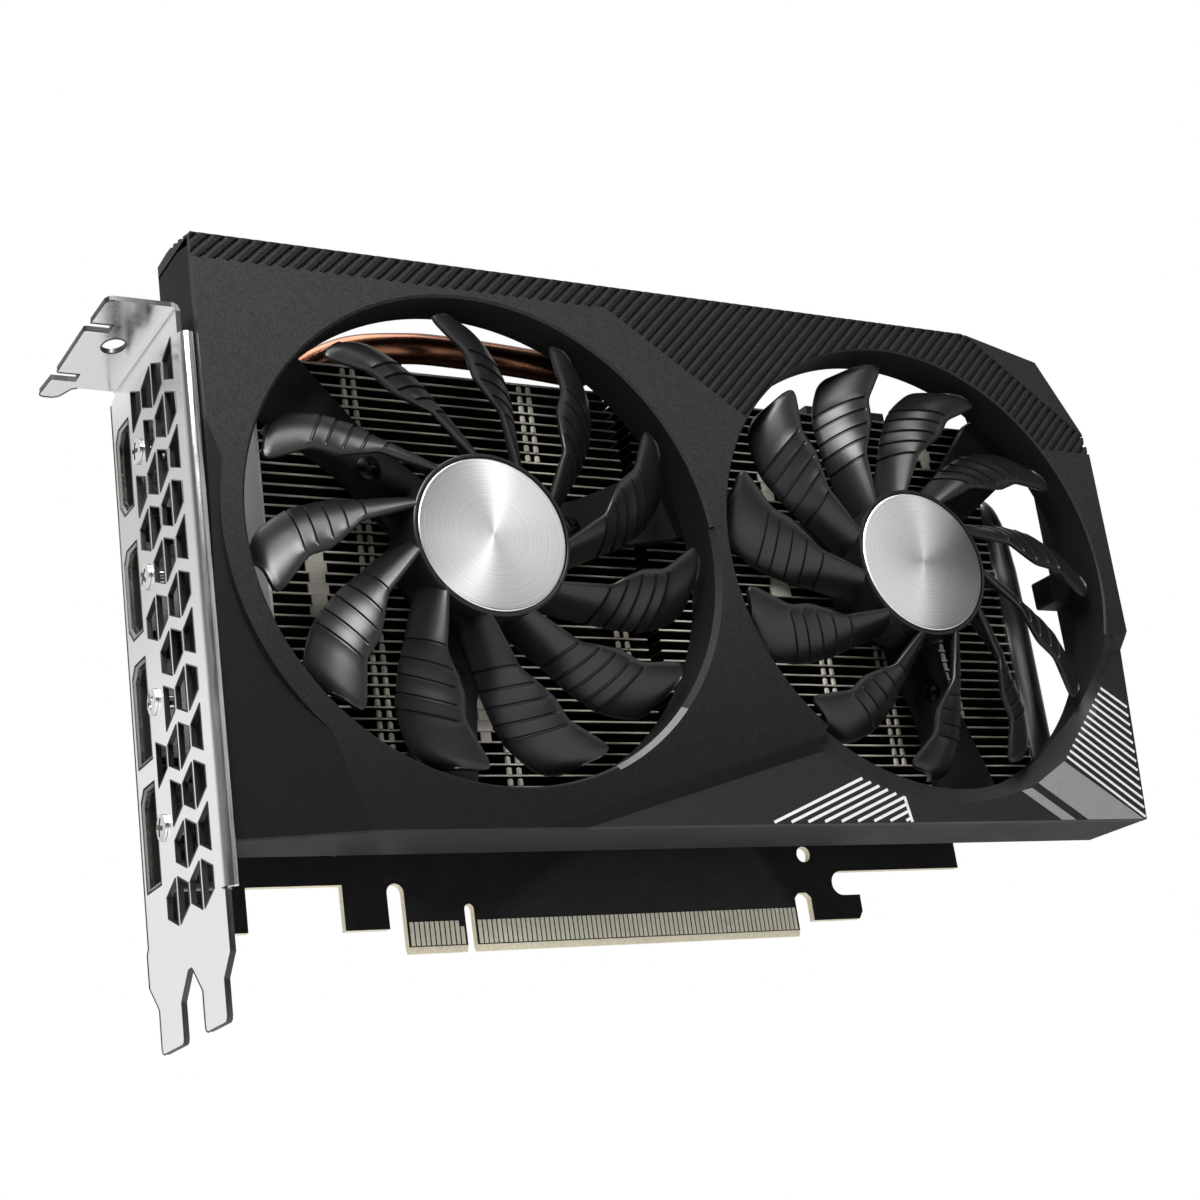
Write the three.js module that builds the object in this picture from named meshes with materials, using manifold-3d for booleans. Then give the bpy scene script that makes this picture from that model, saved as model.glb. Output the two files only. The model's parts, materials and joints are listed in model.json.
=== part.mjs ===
// A dual-slot graphics card with two fans, standing as it does in an upright PC slot.
// Frame, in millimetres: X = 0 is the outer face of the bracket and +X runs along the card,
// Y = 0 is the component side of the circuit board and the fans look towards -Y,
// Z = 0 is the bottom of the edge connector and +Z is up.
import * as THREE from "three";
import { mergeVertices } from "three/addons/utils/BufferGeometryUtils.js";
import Module from "manifold-3d";

const wasm = await Module();
wasm.setup();

// ---------------------------------------------------------------- driving dimensions
const GAP = 0.3; // clearance between neighbouring pieces
const HAIR = GAP / 10; // between pieces that are seated on each other
const DRILL = 1; // how far a cutter sticks out of the face it cuts

// circuit board
const BOARD_THICK = 1.57;
const BOARD_RIGHT = 173.8;
const BOARD_TOP = 111.1;
const BOARD_LEFT = 1.5;
const TONGUE_LEFT = 46.3;
const TONGUE_RIGHT = 131.1;
const KEY_LEFT = 58.0;
const KEY_RIGHT = 59.9;
const CONTACT_TOP = 5.6;
const CONTACT_BOTTOM = 1.3;
const CONTACT_THICK = 0.12;
const CONTACT_MARGIN = 0.35;
const BOARD_SCREW_HOLE_R = 1.6;

// bracket
const SHEET = 0.9;
const BRACKET_BACK = 3.8;
const BRACKET_FRONT = -34.95;
const FLANGE_TOP = 106.35;
const LIP_DEPTH = 2.3;
const LIP_BOTTOM = 5.4;
const LIP_TOP = 100.5;
const FLANGE_REACH = -12.2;
const FLANGE_FRONT = -33.4;
const FLANGE_BACK = 0.8;
const FLANGE_HOLE = { x: -5.65, y: -17.0, halfX: 2.1, halfY: 2.9 };
const SLIT_INNER = -7.9;
const FRONT_SLIT = [-24.6, -21.8];
const BACK_SLIT = [-4.8, -2.0];
const FRONT_TAIL = [-31.4, -21.2];
const BACK_TAIL = [-11.0, 0.3];
const TAIL_ROOT = -8.2;
const TAIL_CROTCH = -3.8;
const TAIL_BOTTOM = -14.9;
const TAIL_CORNER = 1.0;

// sockets on the bracket: middle height and kind
const SOCKETS = [
  { name: "hdmi_socket_1", z: 89.1, half: 8.2, screwY: -9.6 },
  { name: "hdmi_socket_2", z: 65.6, half: 8.2, screwY: -9.3 },
  { name: "dp_socket_1", z: 43.4, half: 8.9, screwY: -8.1 },
  { name: "dp_socket_2", z: 21.4, half: 8.7, screwY: -8.3 },
];
const SOCKET_BACK = 1.9;
const SOCKET_FRONT = -4.9;
const SOCKET_DEPTH = 12.4;
const SOCKET_CUT_ROOM = 1.8; // room behind a socket in the cut-out of the board
const SHELL_WALL = 0.5;
const SHELL_FLOOR = 1.0;
const TONGUE_HALF_THICK = 0.6;
const SOCKET_CORNER = 2.0;
const BRACKET_SCREW = { head: 2.3, shank: 1.2, hole: 1.5, tip: -1.3, end: 4.5 };
const BRACKET_SCREW_ROOM = [5.4, 5.6]; // plain sheet kept around a screw, along Y and Z

// bracket vents: a staggered field of hexagons, each split by an upright bar
const VENT_HALF_WIDTH = 5.4;
const VENT_HALF_BAR = 0.55;
const VENT_PEAK = 4.2;
const VENT_SHOULDER = 1.8;
const VENT_ROW_PITCH = 8.15;
const VENT_COLUMN_PITCH = 5.9;
const VENT_TOP_ROW = 97.6;
const VENT_FIRST_COLUMN = -30.6;
const VENT_ROWS = 12;
const VENT_COLUMNS = 5;
const VENT_FIELD = [-30.5, -7.4];

// shroud
const FRONT = -36.45; // front face of the shroud
const SHROUD_BACK = -19.3;
const WALL = 1.7;
const SHROUD_LEFT = 2.6;
const SHROUD_TOP = 118.8; // at the front edge; the top face rises towards the back
const CROWN_TOP = 121.2;
const CROWN_RIGHT = 172;
const SHROUD_BOTTOM = 13.4;
const RING_BACK = -27.3;
const OPENING_R = 45.9;
const RING_R = 47.4;
const SHROUD_OUTLINE = [
  [SHROUD_LEFT, SHROUD_BOTTOM],
  [193.6, SHROUD_BOTTOM],
  [199.7, 52.5],
  [200.4, 93.5],
  [199.5, 98.4],
  [191.4, 114.6],
  [171.5, SHROUD_TOP],
  [SHROUD_LEFT, SHROUD_TOP],
];

// fans
const FAN_X = [54.1, 149.6];
const FAN_Z = 66.5;
const BLADES = 11;
const BLADE_TIP_R = 43.4;
const BLADE_THICK = 1.1;
const TIP_ANGLE = [0.5, -7.2]; // where one blade tip of each fan points, from +X to +Z
const HUB_R = 15.4;
const HUB_BORE_R = 13.9;
const HUB_FRONT = -36.0;
const HUB_BACK = -25.2;
const HUB_FLOOR = 1.8; // thickness of the front of the hub
const BADGE_R = 14.4;
const BADGE_SEAT = 0.55; // depth of the round seat for the disc
const BADGE_FACES = [-36.05, -35.75];
const SHAFT_R = 1.2;
const SHAFT_END = -24.2;
const BEARING = { outer: 2.05, clearance: 0.09, front: -32.4, back: -25.0 };
const TUBE = { outer: 3.0, bore: 2.2, front: -32.6, floor: -23.6 };
const STATOR = { coreR: 6.2, front: -31.6, back: -26.6, boreR: 3.3, poles: 9 };
const POLE_FACES = [-30.9, -27.3];
const MOUNT_R = 14.2;
const MOUNT_FOOT = 1.4;
const MOUNT_HOLE_R = 1.3;
const ARMS = 3;
const MOUNT_FRONT = -24.3;
const MOUNT_BACK = -22.3;
const ARM_ANGLE = 137; // first arm of the left motor mount
const ARM_HALF_WIDTH = 7.4;
const FAN_SCREW_R = 23.5;
const FAN_SCREW = { head: 2.3, height: 0.8, shank: 1.0 };

// cooler
const FIN_PITCH = 2.05;
const FIN_THICK = 0.4;
const FIN_COUNT = 43;
const FIN_BOTTOM = 19.0;
const FIN_FRONT = -19.0;
const FIN_BACK = -10.6;
const SPINE_THICK = 0.7;
const LEFT_FINS = [18.5, 93.5];
const RIGHT_FINS = [96.5, 183];
const PIPE_R = 3.0;
const PIPE_Y = -6.6;
const CHIP_X = 88;
const CHIP_Z = 62.5;
const PLATE_FRONT = -3.4;
const PLATE_BACK = -2.2;
const PLATE_HALF = 21;
const PLATE_EAR = 2.5; // half width of the ears that carry the standoffs
const STANDOFF_R = 2.4;

// backplate
const BACKPLATE_FRONT = 2.7;
const BACKPLATE_BACK = 3.7;
const BACKPLATE_SCREWS = [
  [18, 107],
  [18, 27],
  [130, 107],
  [130, 27],
];

// ---------------------------------------------------------------- solids
// A three.js geometry as a manifold solid with its faces pointing out.
function solid(geometry) {
  const bare = geometry.index ? geometry.toNonIndexed() : geometry.clone();
  bare.deleteAttribute("normal");
  bare.deleteAttribute("uv");
  const merged = mergeVertices(bare, 1e-4);
  const build = (triVerts) =>
    new wasm.Manifold(
      new wasm.Mesh({
        numProp: 3,
        vertProperties: new Float32Array(merged.attributes.position.array),
        triVerts,
      }),
    );
  const triangles = new Uint32Array(merged.index.array);
  const made = build(triangles);
  if (made.volume() > 0) return made;
  for (let i = 0; i < triangles.length; i += 3) {
    const second = triangles[i + 1];
    triangles[i + 1] = triangles[i + 2];
    triangles[i + 2] = second;
  }
  return build(triangles);
}

function join(first, ...others) {
  return others.reduce((sum, other) => sum.add(other), first);
}

function cut(first, ...others) {
  return others.reduce((rest, other) => rest.subtract(other), first);
}

function geometryOf(manifold) {
  const mesh = manifold.getMesh();
  const geometry = new THREE.BufferGeometry();
  const position = new Float32Array(mesh.numVert * 3);
  for (let i = 0; i < mesh.numVert; i += 1) {
    const start = i * mesh.numProp;
    position.set(mesh.vertProperties.subarray(start, start + 3), i * 3);
  }
  geometry.setAttribute("position", new THREE.BufferAttribute(position, 3));
  geometry.setIndex(new THREE.BufferAttribute(new Uint32Array(mesh.triVerts), 1));
  geometry.computeVertexNormals();
  return geometry;
}

function shapeOf(points) {
  return new THREE.Shape(points.map(([a, b]) => new THREE.Vector2(a, b)));
}

function extruded(shape, depth, curveSegments = 12) {
  return new THREE.ExtrudeGeometry(shape, { depth, bevelEnabled: false, curveSegments });
}

// An outline in (x, z), solid from y0 to y1.
function prismY(shape, y0, y1, curveSegments) {
  const geometry = extruded(shape, y1 - y0, curveSegments);
  geometry.rotateX(Math.PI / 2);
  geometry.translate(0, y1, 0);
  return solid(geometry);
}

// An outline in (y, z), solid from x0 to x1.
function prismX(shape, x0, x1, curveSegments) {
  const geometry = extruded(shape, x1 - x0, curveSegments);
  const turn = new THREE.Matrix4().makeBasis(
    new THREE.Vector3(0, 1, 0),
    new THREE.Vector3(0, 0, 1),
    new THREE.Vector3(1, 0, 0),
  );
  geometry.applyMatrix4(turn);
  geometry.translate(x0, 0, 0);
  return solid(geometry);
}

// An outline in (x, y), solid from z0 to z1.
function prismZ(shape, z0, z1, curveSegments) {
  const geometry = extruded(shape, z1 - z0, curveSegments);
  geometry.translate(0, 0, z0);
  return solid(geometry);
}

function box(x0, x1, y0, y1, z0, z1) {
  const geometry = new THREE.BoxGeometry(x1 - x0, y1 - y0, z1 - z0);
  geometry.translate((x0 + x1) / 2, (y0 + y1) / 2, (z0 + z1) / 2);
  return solid(geometry);
}

function rodY(r, y0, y1, x = 0, z = 0, sides = 24) {
  const geometry = new THREE.CylinderGeometry(r, r, y1 - y0, sides);
  geometry.translate(x, (y0 + y1) / 2, z);
  return solid(geometry);
}

function rodX(r, x0, x1, y, z, sides = 16) {
  const geometry = new THREE.CylinderGeometry(r, r, x1 - x0, sides);
  geometry.rotateZ(Math.PI / 2);
  geometry.translate((x0 + x1) / 2, y, z);
  return solid(geometry);
}

// A ring about the Y axis from its outer and inner radius.
function ringY(outer, inner, y0, y1, sides = 32) {
  const profile = [
    [inner, y0],
    [outer, y0],
    [outer, y1],
    [inner, y1],
    [inner, y0],
  ].map(([r, y]) => new THREE.Vector2(r, y));
  return solid(new THREE.LatheGeometry(profile, sides));
}

function turn(degrees) {
  return (degrees * Math.PI) / 180;
}

// ---------------------------------------------------------------- materials
const finish = (color, roughness, metalness) => () =>
  new THREE.MeshStandardMaterial({ color, roughness, metalness });
const blackPlastic = finish(0x2b2b2c, 0.55, 0.0);
const fanPlastic = finish(0x1c1c1d, 0.4, 0.0);
const nickel = finish(0xd9dadb, 0.22, 1.0);
const aluminium = finish(0xb9b8b0, 0.35, 1.0);
const copper = finish(0xb0664a, 0.3, 1.0);
const gold = finish(0xd8cda0, 0.35, 1.0);
const boardBlack = finish(0x141414, 0.5, 0.0);
const steel = finish(0x8f9194, 0.3, 1.0);
const chipBlack = finish(0x1a1a1c, 0.45, 0.0);
const paintedBlack = finish(0x191919, 0.5, 0.3);

// ---------------------------------------------------------------- the scene graph
const card = new THREE.Group();
const board = new THREE.Group();
const cooler = new THREE.Group();
card.add(board, cooler);

function addPart(group, name, manifold, material) {
  const mesh = new THREE.Mesh(geometryOf(manifold), material());
  mesh.name = name;
  group.add(mesh);
}

// ---------------------------------------------------------------- circuit board
const SHELF = 12.7; // bottom edge of the board beside the tongue
const FOOT_RIGHT = 16.5; // the foot of the board at the bracket
const FOOT_BOTTOM = 4.8;
const STUB_LEFT = 34.5; // the stub just left of the tongue
const STUB_BOTTOM = 4.5;
const HOOK_BOTTOM = 2.9;
const HOOK_TOP = 7.8;
const HOOK_RIGHT = 147.2;
const HOOK_LEFT = 135.0;
const HOOK_NECK = 143.2; // where the slot above the hook ends in a half circle
const BEVEL = 1.0;
const GUIDE_R = 1.65;
const KEY_R = 0.95;
const KEY_TOP = 8.6;
const END_NOTCH_TOP = 8.5;
const COOLER_SCREW_REACH = 27;
const BOARD_HOLE = [134.9, 16.3];

function boardOutline() {
  const outline = new THREE.Shape();
  outline.moveTo(BOARD_LEFT, FOOT_BOTTOM);
  outline.lineTo(FOOT_RIGHT, FOOT_BOTTOM);
  outline.lineTo(FOOT_RIGHT, SHELF);
  outline.lineTo(STUB_LEFT, SHELF);
  outline.lineTo(STUB_LEFT, STUB_BOTTOM);
  outline.lineTo(TONGUE_LEFT - 2 * GUIDE_R, STUB_BOTTOM);
  outline.lineTo(TONGUE_LEFT - 2 * GUIDE_R, SHELF - GUIDE_R);
  outline.absarc(TONGUE_LEFT - GUIDE_R, SHELF - GUIDE_R, GUIDE_R, Math.PI, 0, true);
  outline.lineTo(TONGUE_LEFT, 0);
  outline.lineTo(KEY_LEFT, 0);
  outline.lineTo(KEY_LEFT, KEY_TOP - KEY_R);
  outline.absarc(KEY_LEFT + KEY_R, KEY_TOP - KEY_R, KEY_R, Math.PI, 0, true);
  outline.lineTo(KEY_RIGHT, 0);
  outline.lineTo(TONGUE_RIGHT, 0);
  outline.lineTo(TONGUE_RIGHT, END_NOTCH_TOP - BEVEL);
  outline.lineTo(TONGUE_RIGHT + BEVEL, END_NOTCH_TOP);
  outline.lineTo(HOOK_LEFT - BEVEL, END_NOTCH_TOP);
  outline.lineTo(HOOK_LEFT, END_NOTCH_TOP - BEVEL);
  outline.lineTo(HOOK_LEFT, HOOK_BOTTOM);
  outline.lineTo(HOOK_RIGHT - BEVEL, HOOK_BOTTOM);
  outline.lineTo(HOOK_RIGHT, HOOK_BOTTOM + 1.5 * BEVEL);
  outline.lineTo(HOOK_RIGHT, HOOK_TOP);
  const slotR = (SHELF - HOOK_TOP) / 2;
  outline.lineTo(HOOK_NECK, HOOK_TOP);
  outline.absarc(HOOK_NECK, HOOK_TOP + slotR, slotR, -Math.PI / 2, Math.PI / 2, true);
  outline.lineTo(BOARD_RIGHT, SHELF);
  outline.lineTo(BOARD_RIGHT, BOARD_TOP);
  outline.lineTo(BOARD_LEFT, BOARD_TOP);
  return outline;
}

function coolerCorners() {
  const reach = COOLER_SCREW_REACH;
  return [
    [CHIP_X - reach, CHIP_Z - reach],
    [CHIP_X + reach, CHIP_Z - reach],
    [CHIP_X + reach, CHIP_Z + reach],
    [CHIP_X - reach, CHIP_Z + reach],
  ];
}

function makeBoard() {
  const front = -DRILL;
  const back = BOARD_THICK + DRILL;
  let body = prismY(boardOutline(), 0, BOARD_THICK, 6);
  for (const socket of SOCKETS) {
    const reach = socket.half + GAP;
    const right = SOCKET_DEPTH + SOCKET_CUT_ROOM;
    body = cut(body, box(0, right, front, back, socket.z - reach, socket.z + reach));
  }
  const holes = [BOARD_HOLE, ...coolerCorners(), ...BACKPLATE_SCREWS];
  for (const [x, z] of holes) body = cut(body, rodY(BOARD_SCREW_HOLE_R, front, back, x, z, 12));
  return body;
}

addPart(board, "circuit_board", makeBoard(), boardBlack);

// gold contact fields: a short and a long one on each face
for (const [side, y] of [
  ["front", -CONTACT_THICK],
  ["back", BOARD_THICK],
]) {
  for (const [field, left, right] of [
    ["short", TONGUE_LEFT + CONTACT_MARGIN, KEY_LEFT - CONTACT_MARGIN],
    ["long", KEY_RIGHT + CONTACT_MARGIN, TONGUE_RIGHT - CONTACT_MARGIN],
  ]) {
    const strip = box(left, right, y, y + CONTACT_THICK, CONTACT_BOTTOM, CONTACT_TOP);
    addPart(board, `contacts_${field}_${side}`, strip, gold);
  }
}

// ---------------------------------------------------------------- bracket
// One half of a split hexagon: a five-sided opening, side -1 towards the front, +1 to the back.
function halfVent(y, z, side) {
  const outer = y + side * VENT_HALF_WIDTH;
  const inner = y + side * VENT_HALF_BAR;
  const rise = ((VENT_PEAK - VENT_SHOULDER) * VENT_HALF_BAR) / VENT_HALF_WIDTH;
  const points = [
    [inner, z + VENT_PEAK - rise],
    [outer, z + VENT_SHOULDER],
    [outer, z - VENT_SHOULDER],
    [inner, z - VENT_PEAK + rise],
  ];
  return prismX(shapeOf(points), -DRILL, SHEET + DRILL);
}

function ventIsClear(y, z, side) {
  const outer = y + side * VENT_HALF_WIDTH;
  if (outer < VENT_FIELD[0] || outer > VENT_FIELD[1]) return false;
  const middle = y + (side * VENT_HALF_WIDTH) / 2;
  const [roomY, roomZ] = BRACKET_SCREW_ROOM;
  return SOCKETS.every(({ z: screwZ, screwY }) => {
    return Math.hypot((middle - screwY) / roomY, (z - screwZ) / roomZ) > 1;
  });
}

function bracketVents() {
  const vents = [];
  for (let row = 0; row < VENT_ROWS; row += 1) {
    for (let column = 0; column < VENT_COLUMNS; column += 1) {
      if ((row + column) % 2) continue;
      const y = VENT_FIRST_COLUMN + column * VENT_COLUMN_PITCH;
      const z = VENT_TOP_ROW - row * VENT_ROW_PITCH;
      for (const side of [-1, 1]) {
        if (ventIsClear(y, z, side)) vents.push(halfVent(y, z, side));
      }
    }
  }
  return vents;
}

function socketOpening(socket, grow) {
  const low = socket.z - socket.half - grow;
  const high = socket.z + socket.half + grow;
  const back = SOCKET_BACK + grow;
  const front = SOCKET_FRONT - grow;
  const isHdmi = socket.name.startsWith("hdmi");
  const points = [
    [front, low],
    ...(isHdmi ? [[back - SOCKET_CORNER, low], [back, low + SOCKET_CORNER]] : [[back, low]]),
    [back, high - SOCKET_CORNER],
    [back - SOCKET_CORNER, high],
    [front, high],
  ];
  return shapeOf(points);
}

// The upright sheet in (y, z): down the front edge, round the two tails, up the back edge.
const BRACKET_OUTLINE = [
  [FLANGE_FRONT, FLANGE_TOP],
  [FLANGE_FRONT, LIP_TOP + GAP],
  [BRACKET_FRONT, LIP_TOP + GAP],
  [BRACKET_FRONT, -4.8],
  [FRONT_TAIL[0], TAIL_ROOT],
  [FRONT_TAIL[0], TAIL_BOTTOM + TAIL_CORNER],
  [FRONT_TAIL[0] + TAIL_CORNER, TAIL_BOTTOM],
  [FRONT_TAIL[1] - TAIL_CORNER, TAIL_BOTTOM],
  [FRONT_TAIL[1], TAIL_BOTTOM + TAIL_CORNER],
  [FRONT_TAIL[1], TAIL_ROOT],
  [-17.0, TAIL_CROTCH],
  [-15.4, TAIL_CROTCH],
  [BACK_TAIL[0], TAIL_ROOT],
  [BACK_TAIL[0], TAIL_BOTTOM + TAIL_CORNER],
  [BACK_TAIL[0] + TAIL_CORNER, TAIL_BOTTOM],
  [BACK_TAIL[1] - TAIL_CORNER, TAIL_BOTTOM],
  [BACK_TAIL[1], TAIL_BOTTOM + TAIL_CORNER],
  [BACK_TAIL[1], -7.4],
  [4.6, -3.0],
  [4.6, 2.7],
  [BRACKET_BACK, 3.5],
  [BRACKET_BACK, 103.9],
  [FLANGE_BACK, 105.6],
  [FLANGE_BACK, FLANGE_TOP],
];

// The bent top in (x, y): three fingers between two slits.
const FLANGE_OUTLINE = [
  [SHEET, FLANGE_FRONT],
  [FLANGE_REACH + 1.4, FLANGE_FRONT],
  [FLANGE_REACH + 0.5, FLANGE_FRONT + 1.0],
  [FLANGE_REACH + 0.3, FRONT_SLIT[0]],
  [SLIT_INNER, FRONT_SLIT[0]],
  [SLIT_INNER, FRONT_SLIT[1]],
  [FLANGE_REACH, FRONT_SLIT[1]],
  [FLANGE_REACH - 0.1, BACK_SLIT[0]],
  [SLIT_INNER - 0.2, BACK_SLIT[0]],
  [SLIT_INNER - 0.2, BACK_SLIT[1]],
  [FLANGE_REACH - 0.4, BACK_SLIT[1]],
  [FLANGE_REACH - 0.7, 4.4],
  [FLANGE_REACH + 0.2, 5.4],
  [-9.2, 5.4],
  [-8.3, 3.2],
  [-7.5, FLANGE_BACK],
  [SHEET, FLANGE_BACK],
];

function bracketFlange() {
  const shape = shapeOf(FLANGE_OUTLINE);
  const hole = new THREE.Path();
  const { x, y, halfX, halfY } = FLANGE_HOLE;
  hole.absellipse(x, y, halfX, halfY, 0, 2 * Math.PI, false, 0);
  shape.holes.push(hole);
  return prismZ(shape, FLANGE_TOP - SHEET, FLANGE_TOP, 8);
}

function makeBracket() {
  const lip = box(0, LIP_DEPTH, BRACKET_FRONT, BRACKET_FRONT + SHEET, LIP_BOTTOM, LIP_TOP);
  const sheet = prismX(shapeOf(BRACKET_OUTLINE), 0, SHEET);
  const out = -DRILL;
  const into = SHEET + DRILL;
  let body = join(sheet, bracketFlange(), lip);
  for (const vent of bracketVents()) body = cut(body, vent);
  for (const socket of SOCKETS) {
    body = cut(body, prismX(socketOpening(socket, GAP), out, into));
    body = cut(body, rodX(BRACKET_SCREW.hole, out, into, socket.screwY, socket.z, 12));
  }
  return body;
}

addPart(board, "io_bracket", makeBracket(), nickel);

// ---------------------------------------------------------------- sockets behind the bracket
function makeSocketShell(socket) {
  const inside = prismX(socketOpening(socket, -SHELL_WALL), 0, SOCKET_DEPTH - SHELL_FLOOR);
  return cut(prismX(socketOpening(socket, 0), GAP, SOCKET_DEPTH), inside);
}

function makeSocketTongue(socket) {
  const middle = (SOCKET_BACK + SOCKET_FRONT) / 2;
  const front = middle - TONGUE_HALF_THICK;
  const back = middle + TONGUE_HALF_THICK;
  const reach = socket.half - 2.4;
  return box(1.6, SOCKET_DEPTH - SHELL_FLOOR - GAP, front, back, socket.z - reach, socket.z + reach);
}

function makeBracketScrew(socket) {
  const { head, shank, tip, end } = BRACKET_SCREW;
  const disc = rodX(head, tip, -HAIR, socket.screwY, socket.z, 16);
  return join(disc, rodX(shank, tip / 2, end, socket.screwY, socket.z, 12));
}

SOCKETS.forEach((socket, index) => {
  addPart(board, socket.name, makeSocketShell(socket), steel);
  addPart(board, `${socket.name}_tongue`, makeSocketTongue(socket), gold);
  addPart(board, `bracket_screw_${index + 1}`, makeBracketScrew(socket), steel);
});

// ---------------------------------------------------------------- shroud
// The outline moved inwards by a wall thickness.
// It is convex, so each corner is where two moved edges meet.
function inset(points, distance) {
  const count = points.length;
  const edges = points.map(([x0, z0], i) => {
    const [x1, z1] = points[(i + 1) % count];
    const length = Math.hypot(x1 - x0, z1 - z0);
    const normal = [-(z1 - z0) / length, (x1 - x0) / length];
    return { x: x0 + normal[0] * distance, z: z0 + normal[1] * distance, dx: x1 - x0, dz: z1 - z0 };
  });
  return edges.map((edge, i) => {
    const before = edges[(i + count - 1) % count];
    const cross = before.dx * edge.dz - before.dz * edge.dx;
    const along = ((edge.x - before.x) * edge.dz - (edge.z - before.z) * edge.dx) / cross;
    return [before.x + before.dx * along, before.z + before.dz * along];
  });
}

const POSTS = [
  [8.5, 108],
  [8.5, 24],
  [186, 21],
  [186, 108],
];
const POST_R = 2.6;
const CROWN_FRONT = -22.5; // where the rising top face reaches its full height
const END_CLIP = { left: 191.8, right: 199.4, front: -25.9, bottom: 63.6, top: 69.6 };
const OPENING_SIDES = 48;

// The wedge that raises the top face, lowered by some wall thickness for its hollow side.
function crown(lower, x0, x1) {
  const points = [
    [FRONT + 2 * lower, SHROUD_TOP - lower],
    [FRONT + 2 * lower, SHROUD_TOP - 2 * WALL],
    [SHROUD_BACK + lower, SHROUD_TOP - 2 * WALL],
    [SHROUD_BACK + lower, CROWN_TOP - lower],
    [CROWN_FRONT, CROWN_TOP - lower],
  ];
  return prismX(shapeOf(points), x0, x1);
}

function makeShroud() {
  const outer = prismY(shapeOf(SHROUD_OUTLINE), FRONT, SHROUD_BACK);
  const pocket = prismY(shapeOf(inset(SHROUD_OUTLINE, WALL)), FRONT + WALL, SHROUD_BACK + DRILL);
  const root = FRONT + WALL / 2; // rings and posts start inside the front wall
  let body = join(outer, crown(0, SHROUD_LEFT, CROWN_RIGHT));
  body = cut(body, pocket, crown(WALL, SHROUD_LEFT + WALL, CROWN_RIGHT - WALL));
  for (const x of FAN_X) body = join(body, rodY(RING_R, root, RING_BACK, x, FAN_Z, OPENING_SIDES));
  for (const [x, z] of POSTS) body = join(body, rodY(POST_R, root, SHROUD_BACK - GAP, x, z, 12));
  for (const x of FAN_X) {
    body = cut(body, rodY(OPENING_R, FRONT - DRILL, RING_BACK + DRILL, x, FAN_Z, OPENING_SIDES));
  }
  const { left, right, front, bottom, top } = END_CLIP;
  return join(body, box(left, right, front, SHROUD_BACK - GAP, bottom, top));
}

addPart(cooler, "shroud", makeShroud(), blackPlastic);

// ---------------------------------------------------------------- fans
// Blade stations: radius, front-edge angle and rear-edge angle behind the tip, front and rear depth.
const BLADE_STATIONS = [
  { r: 14.6, front: -31.5, rear: -45.0, y0: -32.6, y1: -26.4 },
  { r: 20.0, front: -24.5, rear: -36.0, y0: -33.2, y1: -26.0 },
  { r: 25.0, front: -19.5, rear: -31.5, y0: -33.8, y1: -26.0 },
  { r: 30.0, front: -9.0, rear: -27.5, y0: -34.1, y1: -26.0 },
  { r: 36.0, front: -6.5, rear: -22.5, y0: -34.2, y1: -26.3 },
  { r: 42.3, front: -0.2, rear: -17.5, y0: -34.1, y1: -27.0 },
  { r: BLADE_TIP_R, front: -2.5, rear: -15.0, y0: -33.4, y1: -27.6 },
];
// Corners of one blade section: how far from front to rear edge, and which face.
const BLADE_SECTION = [
  [0, 1],
  [0.5, 1],
  [1, 1],
  [1, -1],
  [0.5, -1],
  [0, -1],
];

// One blade as a closed loft; its tip leans anticlockwise seen from the front.
function makeBlade(tipAngle) {
  const position = [];
  for (const { r, front, rear, y0, y1 } of BLADE_STATIONS) {
    const chord = Math.hypot(turn(front - rear) * r, y1 - y0);
    const sideAngle = (((y0 - y1) / chord) * BLADE_THICK) / 2 / r;
    const sideY = (((turn(rear - front) * r) / chord) * BLADE_THICK) / 2;
    for (const [along, side] of BLADE_SECTION) {
      const angle = turn(tipAngle + front + along * (rear - front)) + side * sideAngle;
      const y = y0 + along * (y1 - y0) + side * sideY;
      position.push(r * Math.cos(angle), y, r * Math.sin(angle));
    }
  }
  const corners = BLADE_SECTION.length;
  const last = corners * (BLADE_STATIONS.length - 1);
  const index = [];
  for (let corner = 1; corner < corners - 1; corner += 1) {
    index.push(0, corner, corner + 1, last, last + corner + 1, last + corner);
  }
  for (let start = 0; start < last; start += corners) {
    for (let corner = 0; corner < corners; corner += 1) {
      const a = start + corner;
      const b = start + ((corner + 1) % corners);
      index.push(a, a + corners, b + corners, a, b + corners, b);
    }
  }
  const geometry = new THREE.BufferGeometry();
  geometry.setAttribute("position", new THREE.Float32BufferAttribute(position, 3));
  geometry.setIndex(index);
  return solid(geometry);
}

function makeHub() {
  const profile = [
    [0, HUB_FRONT + BADGE_SEAT],
    [BADGE_R + GAP, HUB_FRONT + BADGE_SEAT],
    [BADGE_R + GAP, HUB_FRONT],
    [HUB_R - GAP, HUB_FRONT],
    [HUB_R, HUB_FRONT + GAP],
    [HUB_R, HUB_BACK],
    [HUB_BORE_R, HUB_BACK],
    [HUB_BORE_R, HUB_FRONT + HUB_FLOOR],
    [0, HUB_FRONT + HUB_FLOOR],
  ].map(([r, y]) => new THREE.Vector2(r, y));
  return solid(new THREE.LatheGeometry(profile, 32));
}

function makeRotor(tipOffset) {
  let body = makeHub();
  for (let blade = 0; blade < BLADES; blade += 1) {
    body = join(body, makeBlade(tipOffset + (360 * blade) / BLADES));
  }
  return body;
}

// An outline in (radius, side), solid from y0 to y1 and turned about Y by an angle from +X to +Z.
function spoke(points, y0, y1, degrees) {
  const geometry = extruded(shapeOf(points), y1 - y0);
  geometry.rotateX(Math.PI / 2);
  geometry.translate(0, y1, 0);
  geometry.rotateY(-turn(degrees));
  return solid(geometry);
}

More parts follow.
